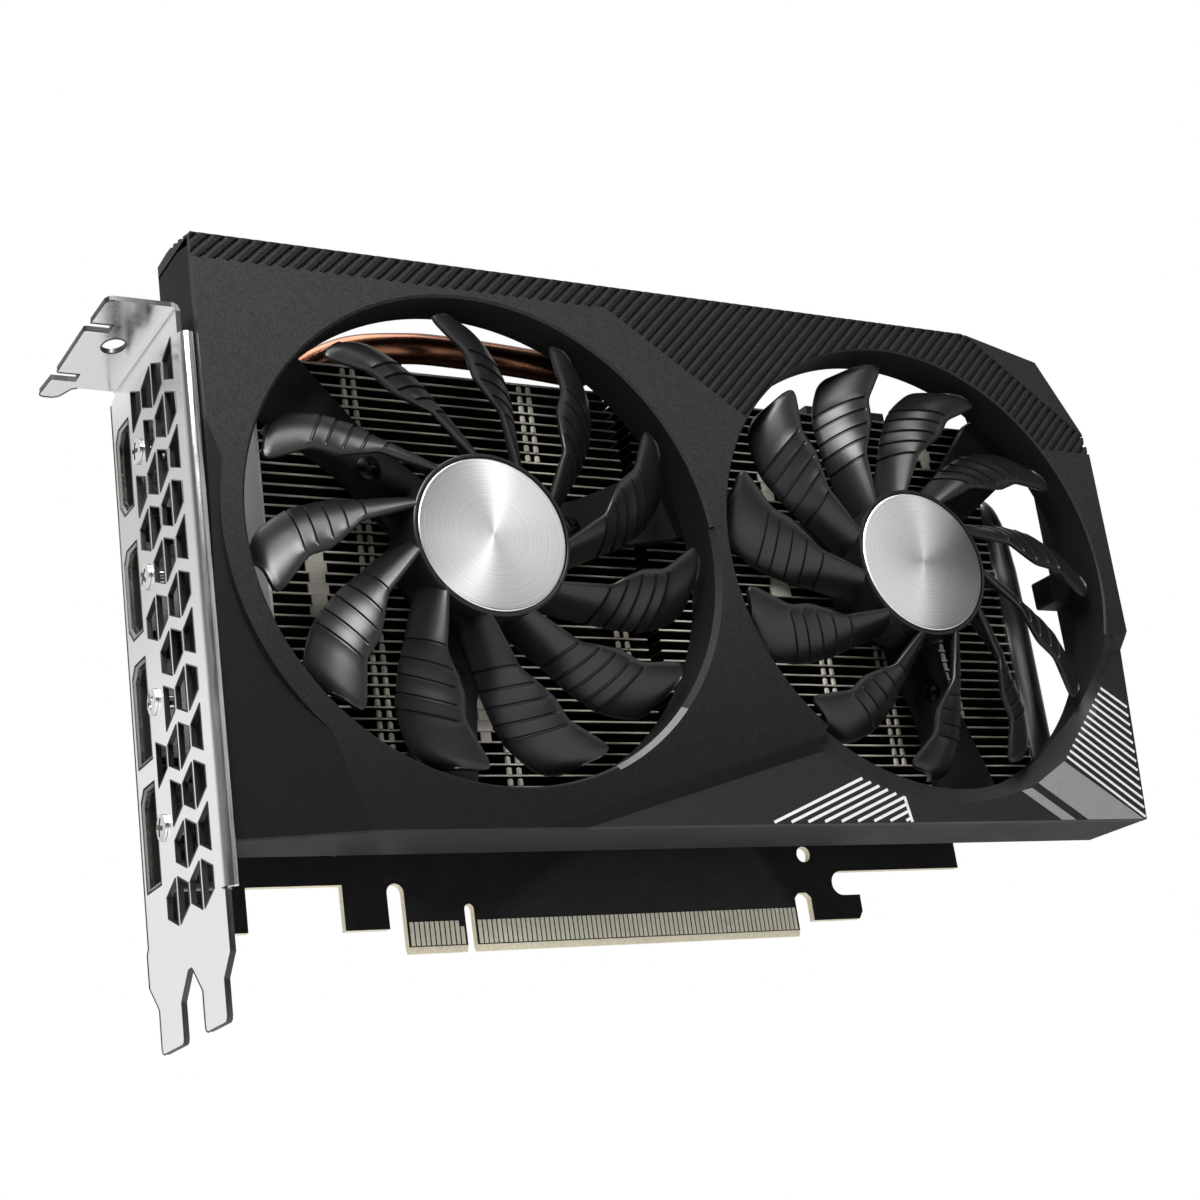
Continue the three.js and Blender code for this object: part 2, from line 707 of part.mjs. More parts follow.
// One arm and the foot at its end in (radius, side).
const ARM_OUTLINE = [
  [10, -6.5],
  [27, -5.0],
  [RING_R, -ARM_HALF_WIDTH],
  [RING_R, ARM_HALF_WIDTH],
  [27, 5.0],
  [10, 6.5],
];
const FOOT_OUTLINE = [
  [RING_R - MOUNT_FOOT, -ARM_HALF_WIDTH],
  [RING_R, -ARM_HALF_WIDTH],
  [RING_R, ARM_HALF_WIDTH],
  [RING_R - MOUNT_FOOT, ARM_HALF_WIDTH],
];

function armAngles(first) {
  return Array.from({ length: ARMS }, (_, arm) => first + (360 * arm) / ARMS);
}

// A three-armed spider behind the rotor, with a bearing tube that reaches into the hub.
function makeMotorMount(firstArm) {
  let body = rodY(MOUNT_R, MOUNT_FRONT, MOUNT_BACK, 0, 0, 32);
  for (const angle of armAngles(firstArm)) {
    body = join(body, spoke(ARM_OUTLINE, MOUNT_FRONT, MOUNT_BACK, angle));
    body = join(body, spoke(FOOT_OUTLINE, RING_BACK + GAP, MOUNT_BACK, angle));
  }
  body = join(body, rodY(TUBE.outer, TUBE.front, MOUNT_BACK, 0, 0, 20));
  body = cut(body, rodY(TUBE.bore, TUBE.front - DRILL, TUBE.floor, 0, 0, 20));
  for (const angle of armAngles(firstArm)) {
    const x = FAN_SCREW_R * Math.cos(turn(angle));
    const z = FAN_SCREW_R * Math.sin(turn(angle));
    body = cut(body, rodY(MOUNT_HOLE_R, MOUNT_FRONT - DRILL, MOUNT_BACK + DRILL, x, z, 12));
  }
  return body;
}

// Nine T-shaped poles on a round core, around the bearing tube.
const POLE_OUTLINE = [
  [4.5, -1.1],
  [10.6, -1.1],
  [10.6, -3.2],
  [12.4, -3.2],
  [12.4, 3.2],
  [10.6, 3.2],
  [10.6, 1.1],
  [4.5, 1.1],
];

function makeStator() {
  const { coreR, front, back, boreR, poles } = STATOR;
  let body = rodY(coreR, front, back, 0, 0, 18);
  for (let pole = 0; pole < poles; pole += 1) {
    body = join(body, spoke(POLE_OUTLINE, ...POLE_FACES, (360 * pole) / poles));
  }
  return cut(body, rodY(boreR, front - DRILL, back + DRILL, 0, 0, 20));
}

function makeFanScrew() {
  const { head, height, shank } = FAN_SCREW;
  const disc = rodY(head, MOUNT_FRONT - height, MOUNT_FRONT - HAIR, 0, 0, 16);
  return join(disc, rodY(shank, MOUNT_FRONT - height / 2, FIN_FRONT - GAP, 0, 0, 12));
}

function makeFan(side, x, firstArm, rotor) {
  const fan = new THREE.Group();
  fan.position.set(x, 0, FAN_Z);
  cooler.add(fan);
  const bearingBore = SHAFT_R + BEARING.clearance;
  const bearing = ringY(BEARING.outer, bearingBore, BEARING.front, BEARING.back, 20);
  const shaft = rodY(SHAFT_R, HUB_FRONT + HUB_FLOOR + GAP, SHAFT_END, 0, 0, 20);
  addPart(fan, `${side}_fan_rotor`, rotor, fanPlastic);
  addPart(fan, `${side}_fan_disc`, rodY(BADGE_R, ...BADGE_FACES, 0, 0, 48), aluminium);
  addPart(fan, `${side}_fan_shaft`, shaft, steel);
  addPart(fan, `${side}_fan_bearing`, bearing, aluminium);
  addPart(fan, `${side}_fan_stator`, makeStator(), copper);
  addPart(fan, `${side}_fan_mount`, makeMotorMount(firstArm), blackPlastic);
  armAngles(firstArm).forEach((angle, index) => {
    const screw = new THREE.Group();
    screw.position.set(FAN_SCREW_R * Math.cos(turn(angle)), 0, FAN_SCREW_R * Math.sin(turn(angle)));
    fan.add(screw);
    addPart(screw, `${side}_fan_screw_${index + 1}`, makeFanScrew(), steel);
  });
}

// The right rotor is the mirror image of a left one, so the two fans turn opposite ways.
function mirrored(manifold) {
  const geometry = geometryOf(manifold);
  geometry.scale(-1, 1, 1);
  return solid(geometry);
}

makeFan("left", FAN_X[0], ARM_ANGLE, makeRotor(TIP_ANGLE[0]));
makeFan("right", FAN_X[1], 180 - ARM_ANGLE, mirrored(makeRotor(180 - TIP_ANGLE[1])));

// ---------------------------------------------------------------- heatsink
// A stack of flat fins joined at the back by their folded tabs, as one comb.
function makeFinStack(x0, x1) {
  const points = [[FIN_BACK + SPINE_THICK, FIN_BOTTOM]];
  for (let fin = 0; fin < FIN_COUNT; fin += 1) {
    const z = FIN_BOTTOM + fin * FIN_PITCH;
    const isLast = fin === FIN_COUNT - 1;
    points.push([FIN_FRONT, z], [FIN_FRONT, z + FIN_THICK]);
    if (!isLast) points.push([FIN_BACK, z + FIN_THICK], [FIN_BACK, z + FIN_PITCH]);
  }
  points.push([FIN_BACK + SPINE_THICK, FIN_BOTTOM + (FIN_COUNT - 1) * FIN_PITCH + FIN_THICK]);
  return prismX(shapeOf(points), x0, x1);
}

addPart(cooler, "left_fin_stack", makeFinStack(...LEFT_FINS), aluminium);
addPart(cooler, "right_fin_stack", makeFinStack(...RIGHT_FINS), aluminium);

function makePipe(route, steps) {
  const points = route.map((p) => new THREE.Vector3(...p));
  const curve = new THREE.CatmullRomCurve3(points, false, "centripetal");
  const circle = new THREE.Shape();
  circle.absarc(0, 0, PIPE_R, 0, 2 * Math.PI, false);
  const options = { steps, extrudePath: curve, curveSegments: 4, bevelEnabled: false };
  return solid(new THREE.ExtrudeGeometry(circle, options));
}

const PIPE_SPACING = 2 * PIPE_R + 3 * GAP;
const TOP_ROUTE = [
  [104, PIPE_Y, CHIP_Z + PIPE_SPACING],
  [86, PIPE_Y, CHIP_Z + PIPE_SPACING],
  [66, PIPE_Y, CHIP_Z + PIPE_SPACING],
  [44, PIPE_Y, 72],
  [33, PIPE_Y, 82],
  [30, PIPE_Y, 95],
  [32, PIPE_Y, 107],
  [40, -11.5, 111.6],
  [52, -14.5, 112.6],
  [64, -14.5, 112.8],
  [78, -14.5, 112.2],
  [93, -13.5, 111.6],
];
const END_ROUTE = [
  [72, PIPE_Y, CHIP_Z],
  [104, PIPE_Y, CHIP_Z],
  [140, PIPE_Y, 65],
  [166, PIPE_Y, 77],
  [183.5, PIPE_Y + 0.2, 88],
  [187.5, -9.0, 90.8],
  [187.5, -14.5, 86],
  [187.3, -16, 74],
  [187.3, -16, 55],
  [187.1, -16, 27],
];
const LOW_ROUTE = [
  [72, PIPE_Y, CHIP_Z - PIPE_SPACING],
  [104, PIPE_Y, CHIP_Z - PIPE_SPACING],
  [134, PIPE_Y, 53],
  [152, PIPE_Y, 45],
  [158, PIPE_Y, 34],
  [158.5, PIPE_Y, 22],
];
addPart(cooler, "top_heat_pipe", makePipe(TOP_ROUTE, 40), copper);
addPart(cooler, "end_heat_pipe", makePipe(END_ROUTE, 40), nickel);
addPart(cooler, "low_heat_pipe", makePipe(LOW_ROUTE, 24), copper);

function makeColdPlate() {
  const half = PLATE_HALF;
  const ear = PLATE_EAR;
  let body = box(CHIP_X - half, CHIP_X + half, PLATE_FRONT, PLATE_BACK, CHIP_Z - half, CHIP_Z + half);
  for (const [x, z] of coolerCorners()) {
    const dx = Math.sign(x - CHIP_X);
    const dz = Math.sign(z - CHIP_Z);
    const points = [
      [CHIP_X + dx * (half - 2 * ear), CHIP_Z + dz * (half - 1)],
      [CHIP_X + dx * (half - 1), CHIP_Z + dz * (half - 2 * ear)],
      [x + dx * ear, z - dz * ear],
      [x + dx * ear, z + dz * ear],
      [x - dx * ear, z + dz * ear],
    ];
    body = join(body, prismY(shapeOf(points), PLATE_FRONT, PLATE_BACK));
    body = join(body, rodY(STANDOFF_R, PLATE_BACK - GAP, -GAP, x, z, 12));
  }
  return body;
}

addPart(cooler, "cold_plate", makeColdPlate(), nickel);

// ---------------------------------------------------------------- parts on the board
const PACKAGE = { half: 18.5, front: -1.1 };
const DIE = { half: 8.6, front: -1.95 };
const MEMORY_CHIP = { halfX: 6, halfZ: 7, front: -1.25 };
const MEMORY = [
  [CHIP_X - 29, CHIP_Z + 9],
  [CHIP_X - 29, CHIP_Z - 9],
  [CHIP_X - 9, CHIP_Z + 30],
  [CHIP_X + 9, CHIP_Z + 30],
];

function square(x, z, half, y0, y1) {
  return box(x - half, x + half, y0, y1, z - half, z + half);
}

const packageBody = square(CHIP_X, CHIP_Z, PACKAGE.half, PACKAGE.front, -HAIR);
addPart(board, "processor_package", packageBody, chipBlack);
const dieBody = square(CHIP_X, CHIP_Z, DIE.half, DIE.front, PACKAGE.front - HAIR);
addPart(board, "processor_die", dieBody, steel);
MEMORY.forEach(([x, z], index) => {
  const { halfX, halfZ, front } = MEMORY_CHIP;
  const chip = box(x - halfX, x + halfX, front, -HAIR, z - halfZ, z + halfZ);
  addPart(board, `memory_chip_${index + 1}`, chip, chipBlack);
});

const POWER = { left: 148.5, right: 169.5, front: -9.3, back: -0.1, bottom: 98.5, top: 112.4 };

const POWER_WALL = 1.3;
const POWER_FLOOR = 3;

function makePowerSocket() {
  const { left, right, front, back, bottom, top } = POWER;
  const x = [left + POWER_WALL, right - POWER_WALL];
  const y = [front + POWER_WALL, back - POWER_WALL];
  const inside = box(...x, ...y, bottom + POWER_FLOOR, top + DRILL);
  return cut(box(left, right, front, back, bottom, top), inside);
}

addPart(board, "power_socket", makePowerSocket(), chipBlack);

// ---------------------------------------------------------------- backplate and screws
const BACKPLATE_OUTLINE = [
  [4, 22],
  [196, 22],
  [198, 26],
  [198, 104],
  [190, 113],
  [4, 113],
];
const BACKPLATE_WINDOW = 33;
const BACKPLATE_HOLE_R = 1.4;
const SLANTED_SLOT = { left: 178, right: 192, lean: 2, height: 5.5, first: 40, pitch: 12, count: 5 };

function makeBackplate() {
  const front = BACKPLATE_FRONT - DRILL;
  const back = BACKPLATE_BACK + DRILL;
  let body = prismY(shapeOf(BACKPLATE_OUTLINE), BACKPLATE_FRONT, BACKPLATE_BACK);
  body = cut(body, square(CHIP_X, CHIP_Z, BACKPLATE_WINDOW, front, back));
  const { left, right, lean, height, first, pitch, count } = SLANTED_SLOT;
  for (let slot = 0; slot < count; slot += 1) {
    const z = first + slot * pitch;
    const points = [
      [left, z],
      [right, z],
      [right + lean, z + height],
      [left + lean, z + height],
    ];
    body = cut(body, prismY(shapeOf(points), front, back));
  }
  for (const [x, z] of BACKPLATE_SCREWS) body = cut(body, rodY(BACKPLATE_HOLE_R, front, back, x, z, 12));
  return body;
}

addPart(cooler, "backplate", makeBackplate(), paintedBlack);

const BACK_SCREW = { head: 2.4, height: 1.2, shank: 1.1, tip: -1.5 };
BACKPLATE_SCREWS.forEach(([x, z], index) => {
  const { head, height, shank, tip } = BACK_SCREW;
  const disc = rodY(head, BACKPLATE_BACK + HAIR, BACKPLATE_BACK + height, x, z, 16);
  const screw = join(disc, rodY(shank, tip, BACKPLATE_BACK + height / 2, x, z, 12));
  addPart(cooler, `backplate_screw_${index + 1}`, screw, steel);
});

const COOLER_SCREW = { head: 2.9, shank: 1.2, top: 4.1 };
coolerCorners().forEach(([x, z], index) => {
  const { head, shank, top } = COOLER_SCREW;
  const disc = rodY(head, BOARD_THICK + GAP, top, x, z, 16);
  const screw = join(disc, rodY(shank, HAIR, BOARD_THICK + 2 * GAP, x, z, 12));
  addPart(cooler, `cooler_screw_${index + 1}`, screw, steel);
});

export default card;
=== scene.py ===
"""Looks of a dual-fan graphics card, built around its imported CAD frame.

Lengths here are millimetres, and Shape.piece() turns them into metres.
+X runs along the card from the bracket, the fans look towards -Y and +Z is up.
"""
import json
import math

import bmesh
import bpy
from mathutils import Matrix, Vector
from mathutils.geometry import delaunay_2d_cdt


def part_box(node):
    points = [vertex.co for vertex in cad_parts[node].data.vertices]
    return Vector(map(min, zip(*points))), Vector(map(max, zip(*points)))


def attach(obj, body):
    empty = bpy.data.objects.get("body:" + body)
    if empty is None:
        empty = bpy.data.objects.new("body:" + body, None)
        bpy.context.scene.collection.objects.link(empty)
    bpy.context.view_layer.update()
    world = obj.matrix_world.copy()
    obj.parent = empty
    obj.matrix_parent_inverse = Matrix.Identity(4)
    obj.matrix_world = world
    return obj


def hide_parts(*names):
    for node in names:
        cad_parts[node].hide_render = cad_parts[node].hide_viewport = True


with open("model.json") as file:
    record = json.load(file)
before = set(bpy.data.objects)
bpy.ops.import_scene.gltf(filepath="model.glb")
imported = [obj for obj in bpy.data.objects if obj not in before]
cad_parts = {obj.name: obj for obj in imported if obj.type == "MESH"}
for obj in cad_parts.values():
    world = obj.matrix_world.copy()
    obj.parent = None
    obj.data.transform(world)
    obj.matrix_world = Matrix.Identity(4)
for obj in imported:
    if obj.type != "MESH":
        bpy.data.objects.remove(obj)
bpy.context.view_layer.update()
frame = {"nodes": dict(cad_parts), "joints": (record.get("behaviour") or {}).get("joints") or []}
NODES = frame["nodes"]
MM = 0.001


def box_of(node):
    """Lowest and highest corner of a CAD node, in millimetres."""
    low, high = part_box(node)
    return low / MM, high / MM


def middle_of(node):
    """Middle of a CAD node's box, in millimetres."""
    low, high = box_of(node)
    return (low + high) / 2


def centre_of(joint_name):
    """(x, z) of a fan's axis, in millimetres."""
    joint = next(j for j in frame["joints"] if j["name"] == joint_name)
    return joint["pos_m"][0] / MM, joint["pos_m"][2] / MM


SHROUD_LOW, SHROUD_HIGH = box_of("shroud")
LEFT, FRONT, BOTTOM = SHROUD_LOW
RIGHT, BACK, CROWN = SHROUD_HIGH
FANS = {side: centre_of(f"{side}_fan_spin") for side in ("left", "right")}
BLADE_COUNT = 11


# ---------------------------------------------------------------- small geometry
def polar(centre, radius, degrees):
    a = math.radians(degrees)
    return centre[0] + radius * math.cos(a), centre[1] + radius * math.sin(a)


def arc(centre, radius, start, end, steps):
    return [polar(centre, radius, start + (end - start) * k / steps) for k in range(steps + 1)]


def circle(centre, radius):
    return arc(centre, radius, 0, 345, 23)


def clamp(value, low=0.0, high=1.0):
    return min(high, max(low, value))


def inside(point, loop):
    """True where a 2-D point lies inside a closed loop."""
    x, z = point
    odd = False
    for (x0, z0), (x1, z1) in zip(loop, loop[1:] + loop[:1]):
        if (z0 > z) != (z1 > z) and x < x0 + (z - z0) * (x1 - x0) / (z1 - z0):
            odd = not odd
    return odd


def side_of(point, start, end):
    """Distance of a point to the left of the line from start to end."""
    dx, dz = end[0] - start[0], end[1] - start[1]
    return (dx * (point[1] - start[1]) - dz * (point[0] - start[0])) / math.hypot(dx, dz)


def smooth_between(knots, at):
    """Smooth curve through (position, value) knots, read at one position."""
    if at <= knots[0][0]:
        return knots[0][1]
    for i in range(len(knots) - 1):
        (x0, y0), (x1, y1) = knots[i], knots[i + 1]
        if at > x1:
            continue
        before = knots[max(i - 1, 0)]
        after = knots[min(i + 2, len(knots) - 1)]
        slope0 = (y1 - before[1]) / (x1 - before[0])
        slope1 = (after[1] - y0) / (after[0] - x0)
        h = x1 - x0
        t = (at - x0) / h
        return (
            y0 * (1 + 2 * t) * (1 - t) ** 2
            + slope0 * h * t * (1 - t) ** 2
            + y1 * t * t * (3 - 2 * t)
            - slope1 * h * t * t * (1 - t)
        )
    return knots[-1][1]


def curve_through(points, per_span):
    """Catmull-Rom points through a route, evenly many on each span."""
    made = []
    ends = [2 * points[0] - points[1], *points, 2 * points[-1] - points[-2]]
    for i in range(1, len(ends) - 2):
        p0, p1, p2, p3 = ends[i - 1 : i + 3]
        for k in range(per_span):
            t = k / per_span
            bend = 2 * p0 - 5 * p1 + 4 * p2 - p3
            twist = 3 * p1 - p0 - 3 * p2 + p3
            made.append(0.5 * (2 * p1 + (p2 - p0) * t + bend * t * t + twist * t**3))
    return [*made, points[-1]]


def clipped(start, end, loop):
    """The stretches of a straight line that lie inside a closed loop."""
    sx, sz = start
    dx, dz = end[0] - sx, end[1] - sz
    cuts = []
    for (x0, z0), (x1, z1) in zip(loop, loop[1:] + loop[:1]):
        ex, ez = x1 - x0, z1 - z0
        cross = dx * ez - dz * ex
        if abs(cross) < 1e-9:
            continue
        along = ((x0 - sx) * ez - (z0 - sz) * ex) / cross
        on_edge = ((x0 - sx) * dz - (z0 - sz) * dx) / cross
        if 0 <= on_edge < 1:
            cuts.append(along)
    cuts.sort()
    return [
        [(sx + dx * a, sz + dz * a), (sx + dx * b, sz + dz * b)]
        for a, b in zip(cuts[::2], cuts[1::2])
    ]


def triangulate(loops, lines=()):
    """Points and triangles of the plane, cut along closed loops and open lines."""
    points, edges = [], []
    for chain, closed in [(c, True) for c in loops] + [(c, False) for c in lines]:
        base, count = len(points), len(chain)
        points += chain
        edges += [(base + i, base + i + 1) for i in range(count - 1)]
        if closed:
            edges.append((base + count - 1, base))
    made = delaunay_2d_cdt([Vector(p) for p in points], edges, [], 0, 1e-4, False)
    return [tuple(v) for v in made[0]], [tuple(f) for f in made[2]]


def middle_point(points, triangle):
    return tuple(sum(points[i][k] for i in triangle) / 3 for k in (0, 1))


def within(points, triangles, loop, holes=()):
    """The triangles that lie inside a loop and in none of its holes."""
    kept = []
    for t in triangles:
        middle = middle_point(points, t)
        if inside(middle, loop) and not any(inside(middle, hole) for hole in holes):
            kept.append(t)
    return kept


def add_object(name, data):
    obj = bpy.data.objects.new(name, data)
    bpy.context.scene.collection.objects.link(obj)
    return obj


class Shape:
    """Closed solids gathered into one piece."""

    def __init__(self):
        self.verts, self.faces, self.paint = [], [], []

    def put(self, verts, faces, paint=0):
        base = len(self.verts)
        self.verts += [tuple(v) for v in verts]
        self.faces += [tuple(base + i for i in f) for f in faces]
        self.paint += [paint] * len(faces)

    def loft(self, rings, paint=0, closed=False):
        """Skin over rings of points. A closed loft joins its last ring to its first one."""
        n, count = len(rings[0]), len(rings)
        faces = []
        for r in range(count if closed else count - 1):
            a, b = r * n, ((r + 1) % count) * n
            faces += [(a + i, a + (i + 1) % n, b + (i + 1) % n, b + i) for i in range(n)]
        if not closed:
            faces += [tuple(range(n)), tuple(range((count - 1) * n, count * n))]
        self.put([p for ring in rings for p in ring], faces, paint)

    def prism(self, outline, low, high, place, paint=0):
        """A 2-D outline pushed along the third axis; place is to_front, to_side or to_top."""
        self.loft([[place(a, b, h) for a, b in outline] for h in (low, high)], paint)

    def box(self, low, high, chamfer=0.1, paint=0):
        """A box with its twelve edges cut off."""
        corners = [(sx, sy, sz) for sx in (0, 1) for sy in (0, 1) for sz in (0, 1)]
        verts = []
        for corner in corners:
            for axis in range(3):
                point = []
                for k in range(3):
                    inset = 0 if k == axis else chamfer
                    point.append(high[k] - inset if corner[k] else low[k] + inset)
                verts.append(point)

        def index(corner, axis):
            return corners.index(tuple(corner)) * 3 + axis

        faces = [tuple(index(c, axis) for axis in range(3)) for c in corners]
        for axis in range(3):
            b, c = [k for k in range(3) if k != axis]

            def at(along, on_b, on_c):
                corner = [0, 0, 0]
                corner[axis], corner[b], corner[c] = along, on_b, on_c
                return corner

            for s in (0, 1):
                around = [at(s, 0, 0), at(s, 1, 0), at(s, 1, 1), at(s, 0, 1)]
                faces.append(tuple(index(corner, axis) for corner in around))
            for on_b in (0, 1):
                for on_c in (0, 1):
                    near, far = at(0, on_b, on_c), at(1, on_b, on_c)
                    faces.append((index(near, b), index(far, b), index(far, c), index(near, c)))
        self.put(verts, faces, paint)

    def lathe(self, profile, centre, steps, paint=0):
        """A closed (radius, y) profile turned about an axis along Y through centre (x, z)."""
        rings = []
        for k in range(steps):
            turn = 360 * k / steps
            rings.append([to_front(*polar(centre, r, turn), y) for r, y in profile])
        self.loft(rings, paint, closed=True)

    def rod(self, radius, low, high, centre, place, steps=16):
        """A round bar with broken edges, pushed along the third axis like a prism."""
        c = 0.15
        stations = [(radius - c, low), (radius, low + c), (radius, high - c), (radius - c, high)]
        turns = [360 * k / steps for k in range(steps)]
        self.loft([[place(*polar(centre, r, a), h) for a in turns] for r, h in stations])

    def tube(self, route, radius, sides=20, paint=0):
        """A round bar along a route, with a radius of its own at each point."""
        radii = radius if isinstance(radius, list) else [radius] * len(route)
        side = None
        rings = []
        for i, point in enumerate(route):
            ahead = (route[min(i + 1, len(route) - 1)] - route[max(i - 1, 0)]).normalized()
            side = side or ahead.orthogonal()
            side = (side - ahead * side.dot(ahead)).normalized()
            up = ahead.cross(side)
            turns = [2 * math.pi * k / sides for k in range(sides)]
            spokes = [side * math.cos(a) + up * math.sin(a) for a in turns]
            rings.append([point + spoke * radii[i] for spoke in spokes])
        self.loft(rings, paint)

    def slab(self, points, triangles, front, back, place, paint=0, edge_paint=None):
        """Triangles of a plane between two height functions, with walls round their border."""
        used = sorted({i for t in triangles for i in t})
        index = {p: k for k, p in enumerate(used)}
        n = len(used)
        verts = [place(*points[p], front(*points[p])) for p in used]
        verts += [place(*points[p], back(*points[p])) for p in used]
        faces = [tuple(index[i] for i in t) for t in triangles]
        faces += [tuple(n + index[i] for i in reversed(t)) for t in triangles]
        self.put(verts, faces, paint)
        border = self.open_edges(triangles)
        walls = [(index[a], index[b], n + index[b], n + index[a]) for a, b in border]
        base = len(self.verts) - len(verts)
        self.faces += [tuple(base + i for i in w) for w in walls]
        self.paint += [paint if edge_paint is None else edge_paint] * len(walls)

    @staticmethod
    def open_edges(triangles):
        seen = set()
        for t in triangles:
            for a, b in zip(t, t[1:] + t[:1]):
                if (b, a) in seen:
                    seen.remove((b, a))
                else:
                    seen.add((a, b))
        return seen

    def piece(self, name, finishes, replaces=(), body="card", crease=30):
        """Makes the Blender object, in metres, riding on a body."""
        mesh = bpy.data.meshes.new(name)
        mesh.from_pydata([Vector(v) * MM for v in self.verts], [], self.faces)
        for finish in finishes:
            mesh.materials.append(PALETTE[finish])
        mesh.polygons.foreach_set("material_index", self.paint)
        bm = bmesh.new()
        bm.from_mesh(mesh)
        bmesh.ops.recalc_face_normals(bm, faces=bm.faces)
        bm.to_mesh(mesh)
        bm.free()
        mesh.shade_smooth()
        mesh.set_sharp_from_angle(angle=math.radians(crease))
        obj = add_object(name, mesh)
        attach(obj, body)
        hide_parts(*replaces)
        return obj


def to_front(a, b, h):
    """Places a plane (x, z) at depth h."""
    return a, h, b


def to_side(a, b, h):
    """Places a plane (y, z) at distance h along the card."""
    return h, a, b


def to_top(a, b, h):
    """Places a plane (x, y) at height h."""
    return a, b, h


# ---------------------------------------------------------------- materials
def add_node(tree, kind, inputs=None, **settings):
    """A shader node with its settings, and with values or links on its inputs."""
    made = tree.nodes.new(kind)
    for key, value in settings.items():
        setattr(made, key, value)
    for key, value in (inputs or {}).items():
        if isinstance(value, bpy.types.NodeSocket):
            tree.links.new(value, made.inputs[key])
        else:
            made.inputs[key].default_value = value
    return made


class Paint:
    """A Principled material with helpers to add its nodes."""

    def __init__(self, name, **constants):
        self.material = bpy.data.materials.new(name)
        self.material.use_nodes = True
        self.tree = self.material.node_tree
        self.shader = self.tree.nodes["Principled BSDF"]
        for socket, value in constants.items():
            self.shader.inputs[socket.replace("_", " ")].default_value = value
        self.place = self.node("ShaderNodeTexCoord").outputs["Object"]

    def node(self, kind, inputs=None, **settings):
        return add_node(self.tree, kind, inputs, **settings)

    def noise(self, scale, detail=3.0, stretch=None):
        """Noise of a scale in cells per metre, longer along the axes with a small stretch."""
        place = self.place
        if stretch:
            inputs = {"Vector": place, "Scale": stretch}
            place = self.node("ShaderNodeMapping", inputs).outputs["Vector"]
        inputs = {"Vector": place, "Scale": scale, "Detail": detail, "Roughness": 0.55}
        return self.node("ShaderNodeTexNoise", inputs).outputs["Fac"]

    def blend(self, fac, low, high):
        """A colour between two greys or colours."""
        ramp = self.node("ShaderNodeValToRGB", {"Fac": fac})
        for stop, colour in zip(ramp.color_ramp.elements, (low, high)):
            stop.color = (*colour, 1) if isinstance(colour, tuple) else (colour,) * 3 + (1,)
        ramp.color_ramp.elements[0].position = 0.3
        ramp.color_ramp.elements[1].position = 0.7
        return ramp.outputs["Color"]

    def scaled(self, fac, low, high):
        inputs = {"Value": fac, "From Min": 0.3, "From Max": 0.7, "To Min": low, "To Max": high}
        return self.node("ShaderNodeMapRange", inputs).outputs["Result"]

    def colour(self, socket):
        self.tree.links.new(socket, self.shader.inputs["Base Color"])

    def rough(self, socket):
        self.tree.links.new(socket, self.shader.inputs["Roughness"])

    def bump(self, height, depth):
        """Bumps of a depth in metres."""
        inputs = {"Height": height, "Distance": depth, "Strength": 1.0}
        made = self.node("ShaderNodeBump", inputs)
        self.tree.links.new(made.outputs["Normal"], self.shader.inputs["Normal"])


def moulded(name, dark, light, rough, grain, depth, painted_shade=None, **constants):
    """Moulded plastic: fine spark-eroded grain and faint flow marks.

    The shade argument is (low, high, share): painted shade that darkens the colour towards the bottom;
    at the low height only that share of the colour is left.
    """
    paint = Paint(name, **constants)
    flow = paint.noise(60)
    fine = paint.noise(grain, detail=2.0)
    colour = paint.blend(fine, dark, light)
    # painted shade: the colour is scaled down by height, darker towards the bottom
    if painted_shade:
        height = paint.node("ShaderNodeSeparateXYZ", {"Vector": paint.place}).outputs["Z"]
        inputs = {"Value": height, "From Min": painted_shade[0], "From Max": painted_shade[1], "To Min": painted_shade[2]}
        share = paint.node("ShaderNodeMapRange", inputs).outputs["Result"]
        inputs = {0: colour, "Scale": share}
        colour = paint.node("ShaderNodeVectorMath", inputs, operation="SCALE").outputs["Vector"]
    paint.colour(colour)
    paint.rough(paint.scaled(flow, rough - 0.04, rough + 0.04))
    paint.bump(fine, depth)
    return paint.material


def metal(name, dark, light, rough, stretch, depth=0.00001, scale=900.0, **constants):
    """Metal with fine drawn or brushed lines and clouded plating."""
    paint = Paint(name, Metallic=1.0, **constants)
    lines = paint.noise(scale, detail=4.0, stretch=stretch)
    clouds = paint.noise(45)
    paint.colour(paint.blend(clouds, dark, light))
    paint.rough(paint.scaled(lines, rough * 0.8, rough * 1.25))
    paint.bump(lines, depth)
    return paint.material


def patchy_lit_sheet(name, dark, light, scale, **constants):
    """Sheet metal with painted light and shade: its brightness drifts in large patches, bright where
    light would catch it and dark elsewhere.
    """
    paint = Paint(name, **constants)
    light_patches = paint.noise(scale, detail=1.0)
    lines = paint.noise(900.0, detail=3.0, stretch=(0.08, 1.0, 1.0))
    paint.colour(paint.blend(light_patches, dark, light))
    paint.rough(paint.scaled(lines, 0.3, 0.45))
    paint.bump(lines, 0.000005)
    return paint.material


